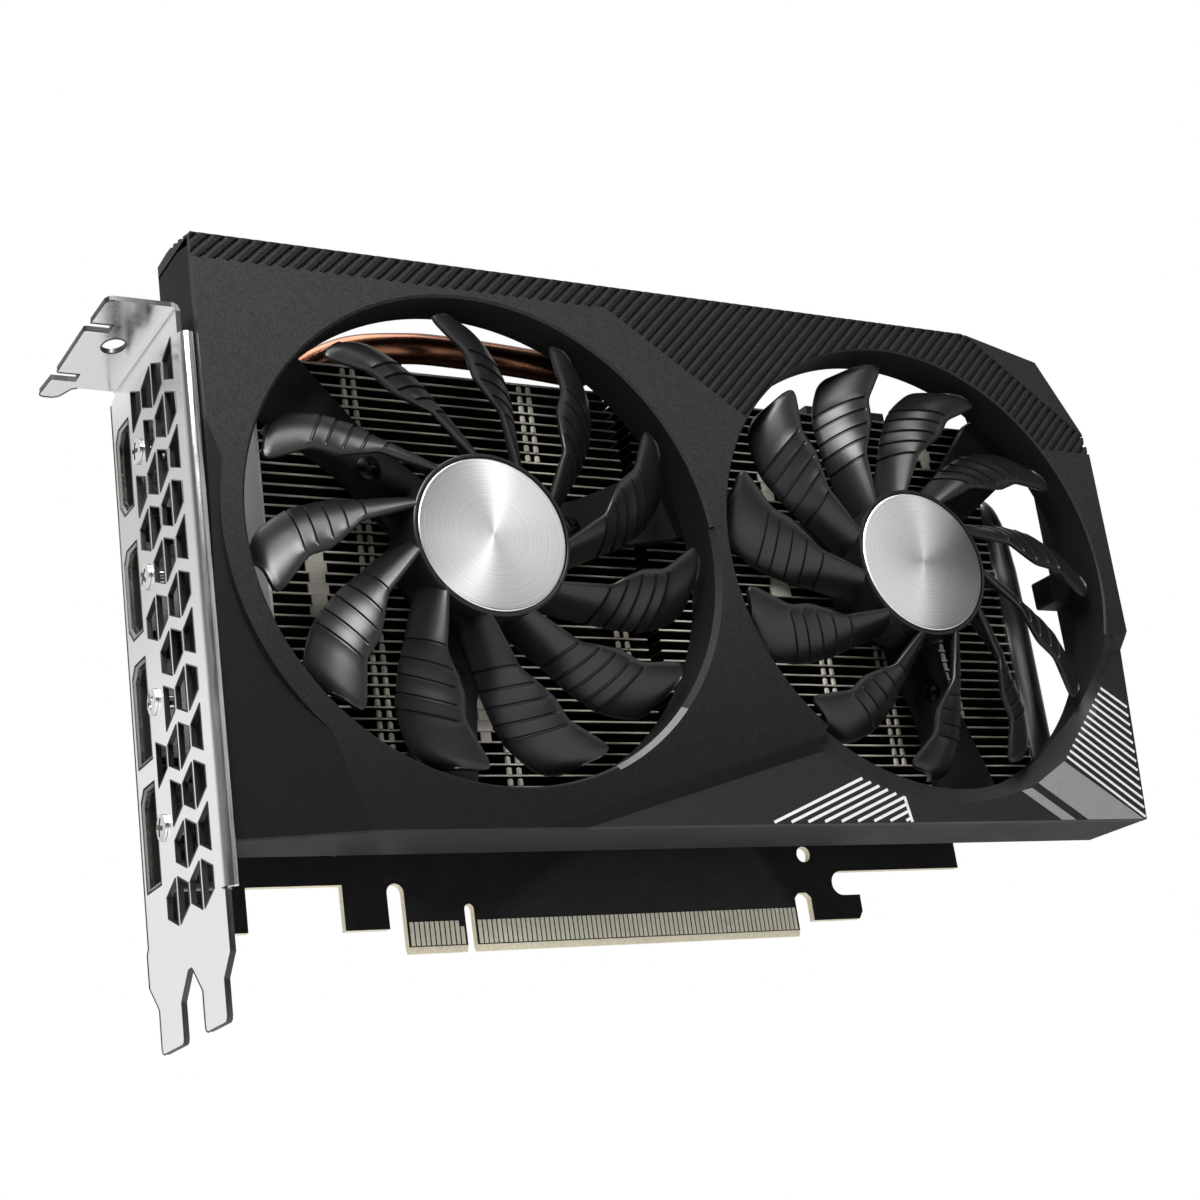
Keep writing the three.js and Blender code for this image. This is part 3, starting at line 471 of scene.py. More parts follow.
def nickel_with_painted_reflection():
    """Bright nickel with a painted reflection: grey across the middle of the bracket and white towards
    its ends, set by height.
    """
    paint = Paint("bracket_nickel", Metallic=1.0)
    height = paint.node("ShaderNodeSeparateXYZ", {"Vector": paint.place}).outputs["Z"]
    clouds = paint.noise(30.0, detail=2.0)
    inputs = {0: clouds, 1: 0.02, 2: height}
    reflection_level = paint.node("ShaderNodeMath", inputs, operation="MULTIPLY_ADD").outputs["Value"]
    inputs = {"Value": reflection_level, "From Min": 0.0, "From Max": 0.14}
    reflection_level = paint.node("ShaderNodeMapRange", inputs).outputs["Result"]
    ramp = paint.node("ShaderNodeValToRGB", {"Fac": reflection_level})
    stops = ramp.color_ramp.elements
    stops[0].position, stops[0].color = 0.3, (0.97, 0.97, 0.97, 1)
    stops[1].position, stops[1].color = 0.81, (0.97, 0.97, 0.97, 1)
    for position, grey in ((0.52, 0.72), (0.74, 0.6)):
        stops.new(position).color = (grey, grey, grey, 1)
    lines = paint.noise(900.0, detail=4.0, stretch=(1.0, 1.0, 0.08))
    paint.colour(ramp.outputs["Color"])
    paint.rough(paint.scaled(lines, 0.15, 0.24))
    paint.bump(lines, 0.000008)
    return paint.material


def spun_metal():
    """Spun aluminium: fine turning rings about the fan axis and a fan-shaped gleam."""
    paint = Paint("spun_aluminium", Metallic=1.0, Anisotropic=0.8, Roughness=0.34)
    tangent = paint.node("ShaderNodeTangent", direction_type="RADIAL", axis="Y")
    paint.tree.links.new(tangent.outputs["Tangent"], paint.shader.inputs["Tangent"])
    split = paint.node("ShaderNodeSeparateXYZ", {"Vector": paint.place})
    inputs = {"X": split.outputs["X"], "Z": split.outputs["Z"]}
    flat = paint.node("ShaderNodeCombineXYZ", inputs)
    radius = paint.node("ShaderNodeVectorMath", {0: flat.outputs["Vector"]}, operation="LENGTH")
    inputs = {"W": radius.outputs["Value"], "Scale": 5200.0, "Detail": 3.0}
    rings = paint.node("ShaderNodeTexNoise", inputs, noise_dimensions="1D").outputs["Fac"]
    paint.colour(paint.blend(rings, 0.6, 0.8))
    paint.bump(rings, 0.000004)
    return paint.material


def board_mask():
    """Black solder mask with the raised lines of the tracks under it."""
    paint = Paint("board_mask", Roughness=0.5, Specular_IOR_Level=0.3)
    inputs = {"Vector": paint.place, "Scale": 420.0}
    cells = paint.node("ShaderNodeTexVoronoi", inputs, distance="CHEBYCHEV")
    tracks = cells.outputs["Distance"]
    paint.colour(paint.blend(tracks, (0.002, 0.0021, 0.0022), (0.005, 0.0052, 0.0055)))
    paint.bump(tracks, 0.00003)
    return paint.material


def palette():
    """Every finish, by name."""
    even = (1.0, 1.0, 1.0)
    upright = (1.0, 1.0, 0.08)
    lengthways = (0.08, 1.0, 1.0)
    beige = ((0.84, 0.80, 0.64), (0.92, 0.88, 0.72))
    laminate = ((0.72, 0.66, 0.48), (0.86, 0.80, 0.62))
    umber = ((0.06, 0.045, 0.03), (0.10, 0.075, 0.05))
    shade = ((0.05, 0.047, 0.042), (0.09, 0.085, 0.075))
    dull = {"Specular_IOR_Level": 0.3}
    matt = {"Specular_IOR_Level": 0.15}
    # painted shade on the main shroud plastic: darker towards the bottom, down to 0.3 of its colour at
    # 18 mm height
    painted_shade = (0.018, 0.085, 0.3)
    return {
        "shroud": moulded("shroud_plastic", 0.0125, 0.029, 0.5, 3200.0, 0.00003, painted_shade, **matt),
        # painted light and shade: a copy of the shroud plastic with its own level for how light falls
        # on the lowered face and the lip
        "shroud_low": moulded("shroud_low_face_painted_light", 0.008, 0.016, 0.5, 3200.0, 0.00003, **dull),
        # painted shade: a much darker copy of the shroud plastic on the lower-left slope and the left
        # side wall
        "shroud_slope": moulded("shroud_slope_painted_shade", 0.002, 0.004, 0.6, 3200.0, 0.00003, **matt),
        # painted shade: a darker copy of the shroud plastic for the openings' inner walls and the fan
        # mounts, which sit in shade
        "shroud_inside": moulded("shroud_inner_wall_painted_shade", 0.003, 0.005, 0.6, 3200.0, 0.00002, **dull),
        # painted shade: a darker copy of the shroud plastic on the band facet and the upper part of the
        # left chamfer
        "crease": moulded("shroud_crease_painted_shade", 0.003, 0.006, 0.55, 3200.0, 0.00003, **matt),
        # glossier and lighter than the panel: the gloss is real, the lighter colour is a painted
        # highlight on the lower right of the left chamfer
        "rim": moulded("shroud_polished_rim_painted_highlight", 0.03, 0.05, 0.25, 1500.0, 0.000005),
        "fan": moulded("fan_plastic", 0.005, 0.008, 0.36, 1500.0, 0.000008),
        "hub": moulded("hub_plastic", 0.004, 0.007, 0.3, 1500.0, 0.000008),
        "connector": moulded("connector_nylon", 0.008, 0.014, 0.5, 1800.0, 0.00001),
        "chip": moulded("chip_resin", 0.008, 0.014, 0.5, 2600.0, 0.00001),
        "insulator": moulded("socket_insulator", 0.005, 0.009, 0.5, 1800.0, 0.00001),
        "print": moulded("pale_print", 0.6, 0.7, 0.5, 2600.0, 0.000004),
        "patch": moulded("grey_print", 0.19, 0.23, 0.5, 2600.0, 0.000004),
        "laminate": moulded("board_laminate", *laminate, 0.6, 1400.0, 0.00002),
        "ceramic": moulded("capacitor_ceramic", *umber, 0.5, 2600.0, 0.00001),
        "paint": moulded("backplate_paint", 0.009, 0.014, 0.42, 3200.0, 0.00001, Metallic=0.2),
        # painted light and shade: fin edges bright cream in large patches and dark between them
        "fin": patchy_lit_sheet("fin_aluminium", (0.22, 0.20, 0.16), (0.92, 0.88, 0.76), 70.0, Metallic=0.3),
        # painted light: a pale, near-white sheet standing in for the bright reflection inside the
        # shroud's shade
        "end_sheet": patchy_lit_sheet("fin_end_sheet_painted_light", (0.55, 0.55, 0.55), (0.98, 0.98, 0.97), 30.0),
        "pad": moulded("edge_contact_gold", *beige, 0.3, 1200.0, 0.000004, Metallic=0.25),
        "mask": board_mask(),
        "disc": spun_metal(),
        # painted reflection on the bracket: grey and white bands by height
        "nickel": nickel_with_painted_reflection(),
        # painted shade: the sheet's cut edges and the thin rims round its holes are dark, as if in
        # shadow
        "nickel_edge_painted_shade": metal("bracket_edge_painted_shade", 0.05, 0.12, 0.4, upright),
        "steel": metal("socket_steel", 0.34, 0.5, 0.25, lengthways),
        "screw": metal("screw_zinc", 0.7, 0.88, 0.22, even),
        "black_screw": metal("screw_black", 0.03, 0.05, 0.35, even),
        "gold": metal("contact_gold", (0.78, 0.62, 0.3), (0.88, 0.74, 0.42), 0.3, upright),
        "fin_inside": metal("fin_shaded", *shade, 0.5, lengthways),
        "copper": metal("pipe_copper", (0.19, 0.075, 0.04), (0.34, 0.16, 0.10), 0.26, lengthways),
        "winding": metal("winding_copper", (0.4, 0.16, 0.07), (0.55, 0.25, 0.12), 0.35, upright),
        "pipe": metal("pipe_nickel", 0.22, 0.36, 0.36, upright),
        "solder": metal("solder_tin", 0.1, 0.16, 0.4, even),
        "silicon": metal("die_silicon", (0.2, 0.21, 0.23), (0.3, 0.31, 0.33), 0.12, even),
    }


PALETTE = palette()

# ---------------------------------------------------------------- shroud
# the shroud's finishes: plain plastic, then copies of it with painted shade on the inner walls, crease
# band and slope, a painted highlight on the rim and painted light on the lowered face
SHROUD_FINISHES = ["shroud", "shroud_inside", "crease", "rim", "shroud_low", "shroud_slope"]
SHADED_INSIDE, SHADED_CREASE, HIGHLIT_RIM, LOW_FACE_PAINTED_LIGHT, SHADED_SLOPE = range(1, len(SHROUD_FINISHES))
OPENING_R = 45.9
RING_OUT = 47.4
RING_BACK = FRONT + 9.15
WALL = 1.7
OUTLINE = [
    (LEFT, BOTTOM),
    (193.6, BOTTOM),
    (199.7, 52.5),
    (RIGHT, 93.5),
    (199.5, 98.4),
    (191.4, 114.6),
    (171.5, 118.8),
    (LEFT, 118.8),
]
TOP = OUTLINE[-1][1]

# lower-left slope, flat inside a circle about the left fan
SLOPE_LOW = (25.0, BOTTOM)
SLOPE_HIGH = (LEFT, 84.0)
SLOPE_TILT = 0.232
SLOPE_R = 50.2

# lowered face under the right fan, and the narrow band that leads down to it
LOW_TILT = 0.07
BAND_UPPER = [(56.2, BOTTOM), (118.4, 30.4)]
BAND_LOWER = [(65.2, BOTTOM), (117.8, 27.5)]
STEP_UPPER = [(193.2, 51.3), (201.0, 53.9)]
STEP_LOWER = [(192.5, 48.5), (201.0, 50.6)]
LOW_REGION = [*BAND_LOWER, FANS["right"], *STEP_LOWER, OUTLINE[1]]
BAND_REGION = [*BAND_UPPER, FANS["right"], BAND_LOWER[1], BAND_LOWER[0]]
STEP_REGION = [*STEP_UPPER, STEP_LOWER[1], STEP_LOWER[0]]

# sloping ring round the lower right of the right opening
LIP_START, LIP_END = -131.5, -17.5
LIP_LOWEST = -52.0
LIP_DIP = (2.1, 4.6)
LIP_VANISH = -21.0
LIP_RISE = 0.25
LIP_R = 48.6
LIP_SPREAD = 76

# chamfer round the left opening, wide; at its lower right it is glossy with a painted highlight, higher
# up painted shade
WIDE_START, POLISHED_HIGHLIGHT_END, WIDE_END = -66.6, -44.0, 5.0

# ribs at 45 degrees
RIB_PITCH = 1.803
RIB_FIRST = -77.70
RIB_STEP = RIB_PITCH * math.sqrt(2)
GROOVE_HALF = (0.17, 0.32)
GROOVE_DEPTH = 0.9
GROOVE_RUNOUT = 0.5
RIB_FLAT = 0.42
RIB_FALL = 0.5
TOOTH_Z = 114.4
TOOTH_DROP = 0.5
TOOTH_BACK = 0.65
DIAGONAL = [(83.9, 114.2), (112.1, 94.2)]
RIB_RIGHT_END = [(186.2, 93.7), (RIGHT, 93.5)]
CORNER_LINE = [(171.9, 119.1), (201.0, 96.6)]
CORNER_TILT = 0.1


def right_rim(degrees):
    """(radius, is lip) of the right opening where the panel meets its ring."""
    if LIP_START < degrees < LIP_END:
        return LIP_R + 2.0 * ((degrees - LIP_LOWEST) / LIP_SPREAD) ** 2, True
    return OPENING_R + 0.35, False


def lip_depth(degrees):
    """Depth of the lip's inner edge: deepest low down, gone where the lip ends at the right."""
    dip = LIP_DIP[0] + LIP_DIP[1] * math.exp(-(((degrees - LIP_LOWEST) / 30) ** 2))
    return max(0.05, min(dip, (LIP_VANISH - degrees) * LIP_RISE))


def left_rim(degrees):
    """The same for the left opening, which has no lip."""
    wide = WIDE_START < degrees < WIDE_END
    return OPENING_R + (1.0 if wide else 0.45), False


def rim_angles(side):
    """Angles round an opening, with close pairs where its rim changes at once."""
    breaks = [LIP_START, LIP_END] if side == "right" else [WIDE_START, WIDE_END]
    angles = [-180 + 2.5 * k for k in range(144)]
    for b in breaks:
        angles += [b - 0.1, b + 0.1]
    return sorted(angles)


def rim_loop(side):
    rule = right_rim if side == "right" else left_rim
    return [polar(FANS[side], rule(a)[0], a) for a in rim_angles(side)]


def rib_zone():
    """Border of the ribbed band: saw teeth, a diagonal, the right opening and the corner line."""
    teeth = [(LEFT - 1, TOOTH_Z)]
    first = TOOTH_Z - TOOTH_DROP + RIB_FIRST * math.sqrt(2)
    x = first + RIB_STEP * math.ceil((LEFT - first) / RIB_STEP)
    while x < DIAGONAL[0][0] - 1:
        teeth += [(x, TOOTH_Z - TOOTH_DROP), (x + TOOTH_BACK, TOOTH_Z)]
        x += RIB_STEP
    centre = FANS["right"]
    ends = []
    for x, z in (DIAGONAL[1], RIB_RIGHT_END[0]):
        ends.append(math.degrees(math.atan2(z - centre[1], x - centre[0])))
    return [
        *teeth,
        *DIAGONAL,
        *arc(centre, OPENING_R - 1, *ends, 24),
        *RIB_RIGHT_END,
        (RIGHT + 1, RIB_RIGHT_END[1][1]),
        (RIGHT + 1, CORNER_LINE[1][1] - 0.5),
        CORNER_LINE[1],
        CORNER_LINE[0],
        (CORNER_LINE[0][0] - 0.5, TOP + 1),
        (LEFT - 1, TOP + 1),
    ]


def groove(across):
    """How far the ribbed surface lies behind the plain one, from the distance across the ribs."""
    phase = ((across - RIB_FIRST) / RIB_PITCH) % 1.0
    away = min(phase, 1 - phase) * RIB_PITCH
    inner, outer = GROOVE_HALF
    if away < inner + 1e-4:
        return GROOVE_DEPTH
    top = 0.05 + RIB_FALL * max(0.0, phase - RIB_FLAT) / (1 - RIB_FLAT)
    if away < outer - 1e-4:
        return GROOVE_DEPTH + (top - GROOVE_DEPTH) * (away - inner) / (outer - inner)
    return top


def rib_lines(loop, across, length):
    """Break lines of the ribs inside a loop; across(u) gives one point of the line at u."""
    lines = []
    for k in range(-6, 100):
        for offset in (-GROOVE_HALF[1], -GROOVE_HALF[0], *GROOVE_HALF, RIB_FLAT * RIB_PITCH):
            start, end = across(RIB_FIRST + RIB_PITCH * k + offset, length)
            lines += clipped(start, end, loop)
    return lines


def front_rib(u, length):
    """A line at 45 degrees on the front, u to the right of x = z."""
    s = math.sqrt(0.5)
    return (u * s, -u * s), (u * s + length * s, -u * s + length * s)


def slope_depth(x, z):
    away = -side_of((x, z), SLOPE_HIGH, SLOPE_LOW)
    return SLOPE_TILT * max(away, 0)


def low_depth(x, z):
    return LOW_TILT * (z - BOTTOM)


def band_depth(x, z):
    upper = abs(side_of((x, z), *BAND_UPPER))
    lower = abs(side_of((x, z), *BAND_LOWER))
    return low_depth(x, z) * upper / max(upper + lower, 1e-6)


def step_depth(x, z):
    upper = abs(side_of((x, z), *STEP_UPPER))
    lower = abs(side_of((x, z), *STEP_LOWER))
    return low_depth(x, z) * upper / max(upper + lower, 1e-6)


def corner_depth(x, z):
    return CORNER_TILT * max(side_of((x, z), *CORNER_LINE), 0)


def no_depth(x, z):
    return 0.0


def in_slope(p):
    far = math.dist(p, FANS["left"]) > SLOPE_R
    return far and side_of(p, SLOPE_HIGH, SLOPE_LOW) < 0 and p[1] < SLOPE_HIGH[1]


PANEL_REGIONS = [
    (lambda p: inside(p, RIB_ZONE), no_depth, True),
    (lambda p: side_of(p, *CORNER_LINE) > 0, corner_depth, False),
    (lambda p: inside(p, STEP_REGION), step_depth, False),
    (lambda p: inside(p, BAND_REGION), band_depth, False),
    (lambda p: inside(p, LOW_REGION), low_depth, False),
    (in_slope, slope_depth, False),
    (lambda p: True, no_depth, False),
]
# the band, lowered face and slope take their own copies of the plastic: painted light and shade
FACET_PAINT = {band_depth: SHADED_CREASE, low_depth: LOW_FACE_PAINTED_LIGHT, slope_depth: SHADED_SLOPE}
RIB_ZONE = rib_zone()


def region_of(p):
    return next(i for i, region in enumerate(PANEL_REGIONS) if region[0](p))


def base_depth(p):
    """Depth of the panel behind its front plane, without the grooves."""
    return PANEL_REGIONS[region_of(p)][1](*p)


def add_panel(shape):
    """The front panel, one closed slab for each of its facets."""
    rims = [rim_loop(side) for side in FANS]
    crease = arc(FANS["left"], SLOPE_R, 150, 240, 40)
    lines = [
        BAND_UPPER, BAND_LOWER, STEP_UPPER, STEP_LOWER, CORNER_LINE, crease,
        [SLOPE_HIGH, SLOPE_LOW],
        [STEP_UPPER[0], STEP_LOWER[0]],
        [BAND_UPPER[1], BAND_LOWER[1]],
        [(LEFT - 1, TOP - GROOVE_RUNOUT), (RIGHT + 1, TOP - GROOVE_RUNOUT)],
    ]
    lines += rib_lines(RIB_ZONE, front_rib, 260)
    points, triangles = triangulate([OUTLINE, RIB_ZONE, *rims], lines)
    groups = [[] for _ in PANEL_REGIONS]
    for t in within(points, triangles, OUTLINE, rims):
        groups[region_of(middle_point(points, t))].append(t)
    for group, (_, depth, ribbed) in zip(groups, PANEL_REGIONS):
        paint = FACET_PAINT.get(depth, 0)

        def front(x, z, depth=depth, ribbed=ribbed):
            runout = clamp((TOP - z) / GROOVE_RUNOUT, 0.1)
            cut = groove((x - z) / math.sqrt(2)) * runout if ribbed else 0.0
            return FRONT + depth(x, z) + cut

        def back(x, z, depth=depth):
            return FRONT + depth(x, z) + WALL

        shape.slab(points, group, front, back, to_front, paint)


def add_ring(shape, side):
    """The wall round a fan opening, with its chamfer or its sloping lip."""
    rule = right_rim if side == "right" else left_rim
    rings = []
    for a in rim_angles(side):
        radius, is_lip = rule(a)
        edge = FRONT + base_depth(polar(FANS[side], radius + 0.05, a))
        inner = edge + (radius - OPENING_R)
        if is_lip:
            inner = FRONT + lip_depth(a)
        outer = max(RING_OUT, radius)
        stations = [
            (radius, edge),
            (OPENING_R, inner),
            (OPENING_R, RING_BACK),
            (outer, RING_BACK),
            (outer, edge + WALL / 2),
            (radius, edge + WALL / 2),
        ]
        rings.append([to_front(*polar(FANS[side], r, a), y) for r, y in stations])
    first = len(shape.paint)
    shape.loft(rings, closed=True)
    for k, a in enumerate(rim_angles(side)):
        chamfer = first + k * len(rings[0])
        # the openings' inner walls take the darker copy of the plastic: painted shade
        shape.paint[chamfer + 1] = SHADED_INSIDE
        # on the left chamfer: a painted highlight low down, painted shade higher up
        if side == "left" and WIDE_START < a < WIDE_END:
            shape.paint[chamfer] = HIGHLIT_RIM if a < POLISHED_HIGHLIGHT_END else SHADED_CREASE
        # the lip's chamfer takes the lowered face's copy of the plastic, painted light and shade
        if rule(a)[1]:
            shape.paint[chamfer] = LOW_FACE_PAINTED_LIGHT


def offset_loop(loop, distance):
    """A convex anticlockwise loop moved inwards."""
    moved = []
    for (x0, z0), (x1, z1), (x2, z2) in zip(loop[-1:] + loop[:-1], loop, loop[1:] + loop[:1]):
        n0 = Vector((z0 - z1, x1 - x0)).normalized()
        n1 = Vector((z1 - z2, x2 - x1)).normalized()
        if (n0 - n1).length < 1e-3:
            moved.append((x1 + n0.x * distance, z1 + n0.y * distance))
            continue
        reach = distance / (1 + n0.dot(n1))
        moved.append((x1 + (n0 + n1).x * reach, z1 + (n0 + n1).y * reach))
    return moved


def add_sides(shape):
    """The side walls, from inside the panel to the back edge, just under the panel's own border."""
    loop = []
    for (x0, z0), (x1, z1) in zip(OUTLINE, OUTLINE[1:] + OUTLINE[:1]):
        steps = math.ceil(math.hypot(x1 - x0, z1 - z0) / 2)
        loop += [(x0 + (x1 - x0) * k / steps, z0 + (z1 - z0) * k / steps) for k in range(steps)]
    outer = offset_loop(loop, 0.02)
    inner = offset_loop(loop, WALL)
    rings = []
    for (x, z), (ix, iz) in zip(outer, inner):
        top = FRONT + base_depth((x + (ix - x) * 0.1, z + (iz - z) * 0.1)) + 1.1
        rings.append([(x, top, z), (ix, top, iz), (ix, BACK, iz), (x, BACK, z)])
    first = len(shape.paint)
    shape.loft(rings, closed=True)
    # the left side wall takes the slope's darker copy: painted shade
    for k in range(first, len(shape.paint)):
        if all(shape.verts[i][0] < LEFT + 0.1 for i in shape.faces[k]):
            shape.paint[k] = SHADED_SLOPE


CROWN_RIGHT = 172.0
CROWN_RUNOUT = 2.0
CROWN_PROFILE = [
    (-36.45, 118.75), (-30.6, 120.2), (-26.4, 120.95), (-22.0, CROWN), (BACK, CROWN - 0.3),
]


def crown_height(y):
    """Height of the top face from its front edge to its back edge."""
    return smooth_between(CROWN_PROFILE, y)


def add_crown(shape):
    """The ribbed top face."""
    left, right, front, back = LEFT + 0.02, CROWN_RIGHT, FRONT + 0.95, BACK - 0.02
    loop = [(left, front), (right, front), (right, back), (left, back)]

    def top_rib(u, length):
        s = math.sqrt(0.5)
        x = u * math.sqrt(2) + TOP
        return (x - 1, FRONT - 1), (x - 1 + length * s, FRONT - 1 + length * s)

    levels = (-34.5, -32.5, -30.6, -28.5, -26.4, -24.2, -22.0)
    lines = rib_lines(loop, top_rib, 60) + [[(left - 1, y), (right + 1, y)] for y in levels]
    points, triangles = triangulate([loop], lines)

    def top(x, y):
        cut = groove((x - TOP - (y - FRONT)) / math.sqrt(2))
        runout = clamp((y - front) / CROWN_RUNOUT, 0.1)
        return crown_height(y) - cut * runout * 0.5

    def under(x, y):
        return min(crown_height(y) - 2.2, TOP - 0.6)

    shape.slab(points, within(points, triangles, loop), top, under, to_top)


POSTS = ((8.5, 108), (8.5, 24), (186, 21), (186, 108))
POST_R = 2.6
WEB_REACH, WEB_HALF = 4.6, 0.5
CLIP_LOW = (191.8, RING_BACK + 1.4, 63.6)
CLIP_HIGH = (198.4, BACK - 0.3, 69.6)


def add_shroud_inside(shape):
    """Screw posts with their webs, and the clip at the right-hand end."""
    for x, z in POSTS:
        floor = FRONT + base_depth((x, z)) + WALL - 0.2
        shape.rod(POST_R, floor, BACK - 0.1, (x, z), to_front, steps=28)
        for wide, tall in ((WEB_REACH, WEB_HALF), (WEB_HALF, WEB_REACH)):
            low = (x - wide, floor + 0.9, z - tall)
            shape.box(low, (x + wide, BACK - 4, z + tall), 0.15)
    shape.box(CLIP_LOW, CLIP_HIGH, 0.4)


def make_shroud():
    shape = Shape()
    add_panel(shape)
    for side in FANS:
        add_ring(shape, side)
    add_sides(shape)
    add_crown(shape)
    add_shroud_inside(shape)
    shape.piece("shroud_shell", SHROUD_FINISHES, ["shroud"], crease=14)


def add_print(shape, corners, paint=0):
    """A thin printed patch that follows the lowered face."""
    proud, sunk = 0.03, 0.02
    front = [(x, FRONT + low_depth(x, z) - proud, z) for x, z in corners]
    back = [(x, FRONT + low_depth(x, z) + sunk, z) for x, z in corners]
    shape.loft([front, back], paint)


def stripe(start, end, width):
    """Corners of a stripe with upright-cut ends."""
    dx, dz = end[0] - start[0], end[1] - start[1]
    length = math.hypot(dx, dz)
    nx, nz = -dz / length * width / 2, dx / length * width / 2
    return [
        (start[0] - nx, start[1] - nz),
        (end[0] - nx, end[1] - nz),
        (end[0] + nx, end[1] + nz),
        (start[0] + nx, start[1] + nz),
    ]


PRINT_BOTTOM = 13.5
STRIPE_COUNT, STRIPE_FIRST, STRIPE_STEP = 9, 103.2, 3.72
STRIPE_LONGEST, STRIPE_SHORTER = 23.3, 2.09
STRIPE_SLOPE = (0.934, 0.356)
STRIPES_END = 134.0
STRIPE_WIDTH, END_WIDTH, CORNER_WIDTH = 0.54, 0.62, 0.58
CORNER_STRIPES = 13
CORNER_STARTS = [(190.8, 41.5), (176.8, 26.6)]
CORNER_ENDS = [(196.6, 37.4), (193.4, 13.9)]
PATCHES = [
    [(175.7, 25.6), (167.5, 21.1), (178.0, PRINT_BOTTOM), (192.7, PRINT_BOTTOM)],
    [(162.75, 19.5), (165.6, 20.1), (174.8, PRINT_BOTTOM), (171.2, PRINT_BOTTOM)],
]


def part_way(ends, t):
    """The point at a share t of the way between two ends."""
    (x0, z0), (x1, z1) = ends
    return x0 + (x1 - x0) * t, z0 + (z1 - z0) * t


def make_prints():
    """Pale stripes and grey patches printed on the lowered face."""
    shape = Shape()
    along, up = STRIPE_SLOPE
    for k in range(STRIPE_COUNT):
        x, z = STRIPE_FIRST + STRIPE_STEP * k, PRINT_BOTTOM + 0.3
        reach = min(STRIPE_LONGEST - STRIPE_SHORTER * k, (STRIPES_END - x) / along)
        add_print(shape, stripe((x, z), (x + along * reach, z + up * reach), STRIPE_WIDTH))
    ends = (STRIPES_END - 0.2, 18.5), (STRIPES_END + 0.3, PRINT_BOTTOM)
    add_print(shape, stripe(*ends, END_WIDTH))
    for k in range(CORNER_STRIPES):
        t = k / (CORNER_STRIPES - 1)
        ends = part_way(CORNER_STARTS, t), part_way(CORNER_ENDS, t)
        add_print(shape, stripe(*ends, CORNER_WIDTH))
    for corners in PATCHES:
        add_print(shape, corners, paint=1)
    shape.piece("shroud_prints", ["print", "patch"])


# ---------------------------------------------------------------- fans
HUB_R = 15.4
DISC_R = 14.4
HUB_FACE = -36.0
HUB_BACK = -25.2
BLADE_GROOVES = (24.2, 27.5, 30.4, 33.4, 36.0)

# a blade's two edges as (radius, degrees), their depths as (radius, y)
FRONT_EDGE = [
    (14.6, -33.5), (18, -27), (21.5, -22.5), (24.5, -19.5), (27, -14.5), (30.4, -9.6), (33.0, -8.3),
    (35.2, -7.4), (38, -4), (41, -0.8), (42.3, -0.1), (42.9, -0.4), (43.25, -1.6), (43.4, -3.5),
]
REAR_EDGE = [
    (14.6, -49), (18, -42.5), (21, -38), (24, -34.5), (28.5, -31), (32, -28), (36, -24.5),
    (40, -19.5), (42, -16.5), (43, -13.5), (43.4, -10.5),
]
FRONT_DEPTH = [(14.6, -35.2), (25, -35.2), (30, -35.0), (42, -34.8), (43.4, -34.3)]
REAR_DEPTH = [(14.6, -28.0), (20, -28.5), (30, -29.0), (36, -28.6), (43.4, -29.0)]
BLADE_ACROSS = (0, 0.015, 0.05, 0.1, 0.14, 0.2, 0.3, 0.42, 0.55, 0.68, 0.8, 0.9, 0.96, 0.99, 1)
BLADE_HALF_THICK = [(14.6, 0.95), (18, 0.9), (22, 0.7), (26, 0.55), (43.4, 0.45)]


def blade_radii():
    """Radii of the blade's sections: close together at its root, tip and grooves."""
    radii = [14.6, 15.4, 16.4, 17.5, 19, 20.5, 22, 23.2, 25.2, 26.3, 28.6, 29.4, 31.4, 32.4]
    radii += [34.3, 35.1, 37, 38, 39, 40, 41, 41.7, 42.3, 42.7, 43.0, 43.2, 43.35, 43.4]
    for r in BLADE_GROOVES:
        radii += [r - 0.32, r - 0.14, r + 0.14, r + 0.32]
    return sorted(radii)


def blade_middle(r, t):
    """A point of the blade's middle surface, t from its front edge to its rear edge."""
    front = smooth_between(FRONT_EDGE, r)
    rear = smooth_between(REAR_EDGE, r)
    y_front = smooth_between(FRONT_DEPTH, r)
    y_rear = smooth_between(REAR_DEPTH, r)
    a = math.radians(front + (rear - front) * t)
    y = y_front + (y_rear - y_front) * t**2
    return Vector((r * math.cos(a), y, r * math.sin(a)))


def blade_surface(r, t):
    """Front and back points of the blade: rounded edges, and grooves across the front."""
    across = blade_middle(r, min(t + 0.02, 1)) - blade_middle(r, max(t - 0.02, 0))
    middle = blade_middle(r, t)
    outwards = Vector((middle.x, 0, middle.z))
    normal = outwards.cross(across).normalized()
    if normal.y > 0:
        normal = -normal
    chord = (blade_middle(r, 1) - blade_middle(r, 0)).length
    near_edge = min(t, 1 - t) * chord
    full = smooth_between(BLADE_HALF_THICK, r)
    half = full
    if near_edge < full:
        half *= math.sqrt(1 - (1 - near_edge / full) ** 2)
    sink = 0.0
    if t > 0.12:
        for g in BLADE_GROOVES:
            if abs(r - g) < 0.2:
                sink = 0.34
            elif abs(r - g) < 0.34:
                sink = -0.12 if r > g else 0.02
    return middle + normal * (half - sink), middle - normal * half


def blade_rings():
    """The blade's sections from root to tip."""
    rings = []
    for r in blade_radii():
        pairs = [blade_surface(r, t) for t in BLADE_ACROSS]
        front = [p for p, _ in pairs]
        back = [q for _, q in pairs[1:-1]]
        rings.append(front + back[::-1])
    return rings


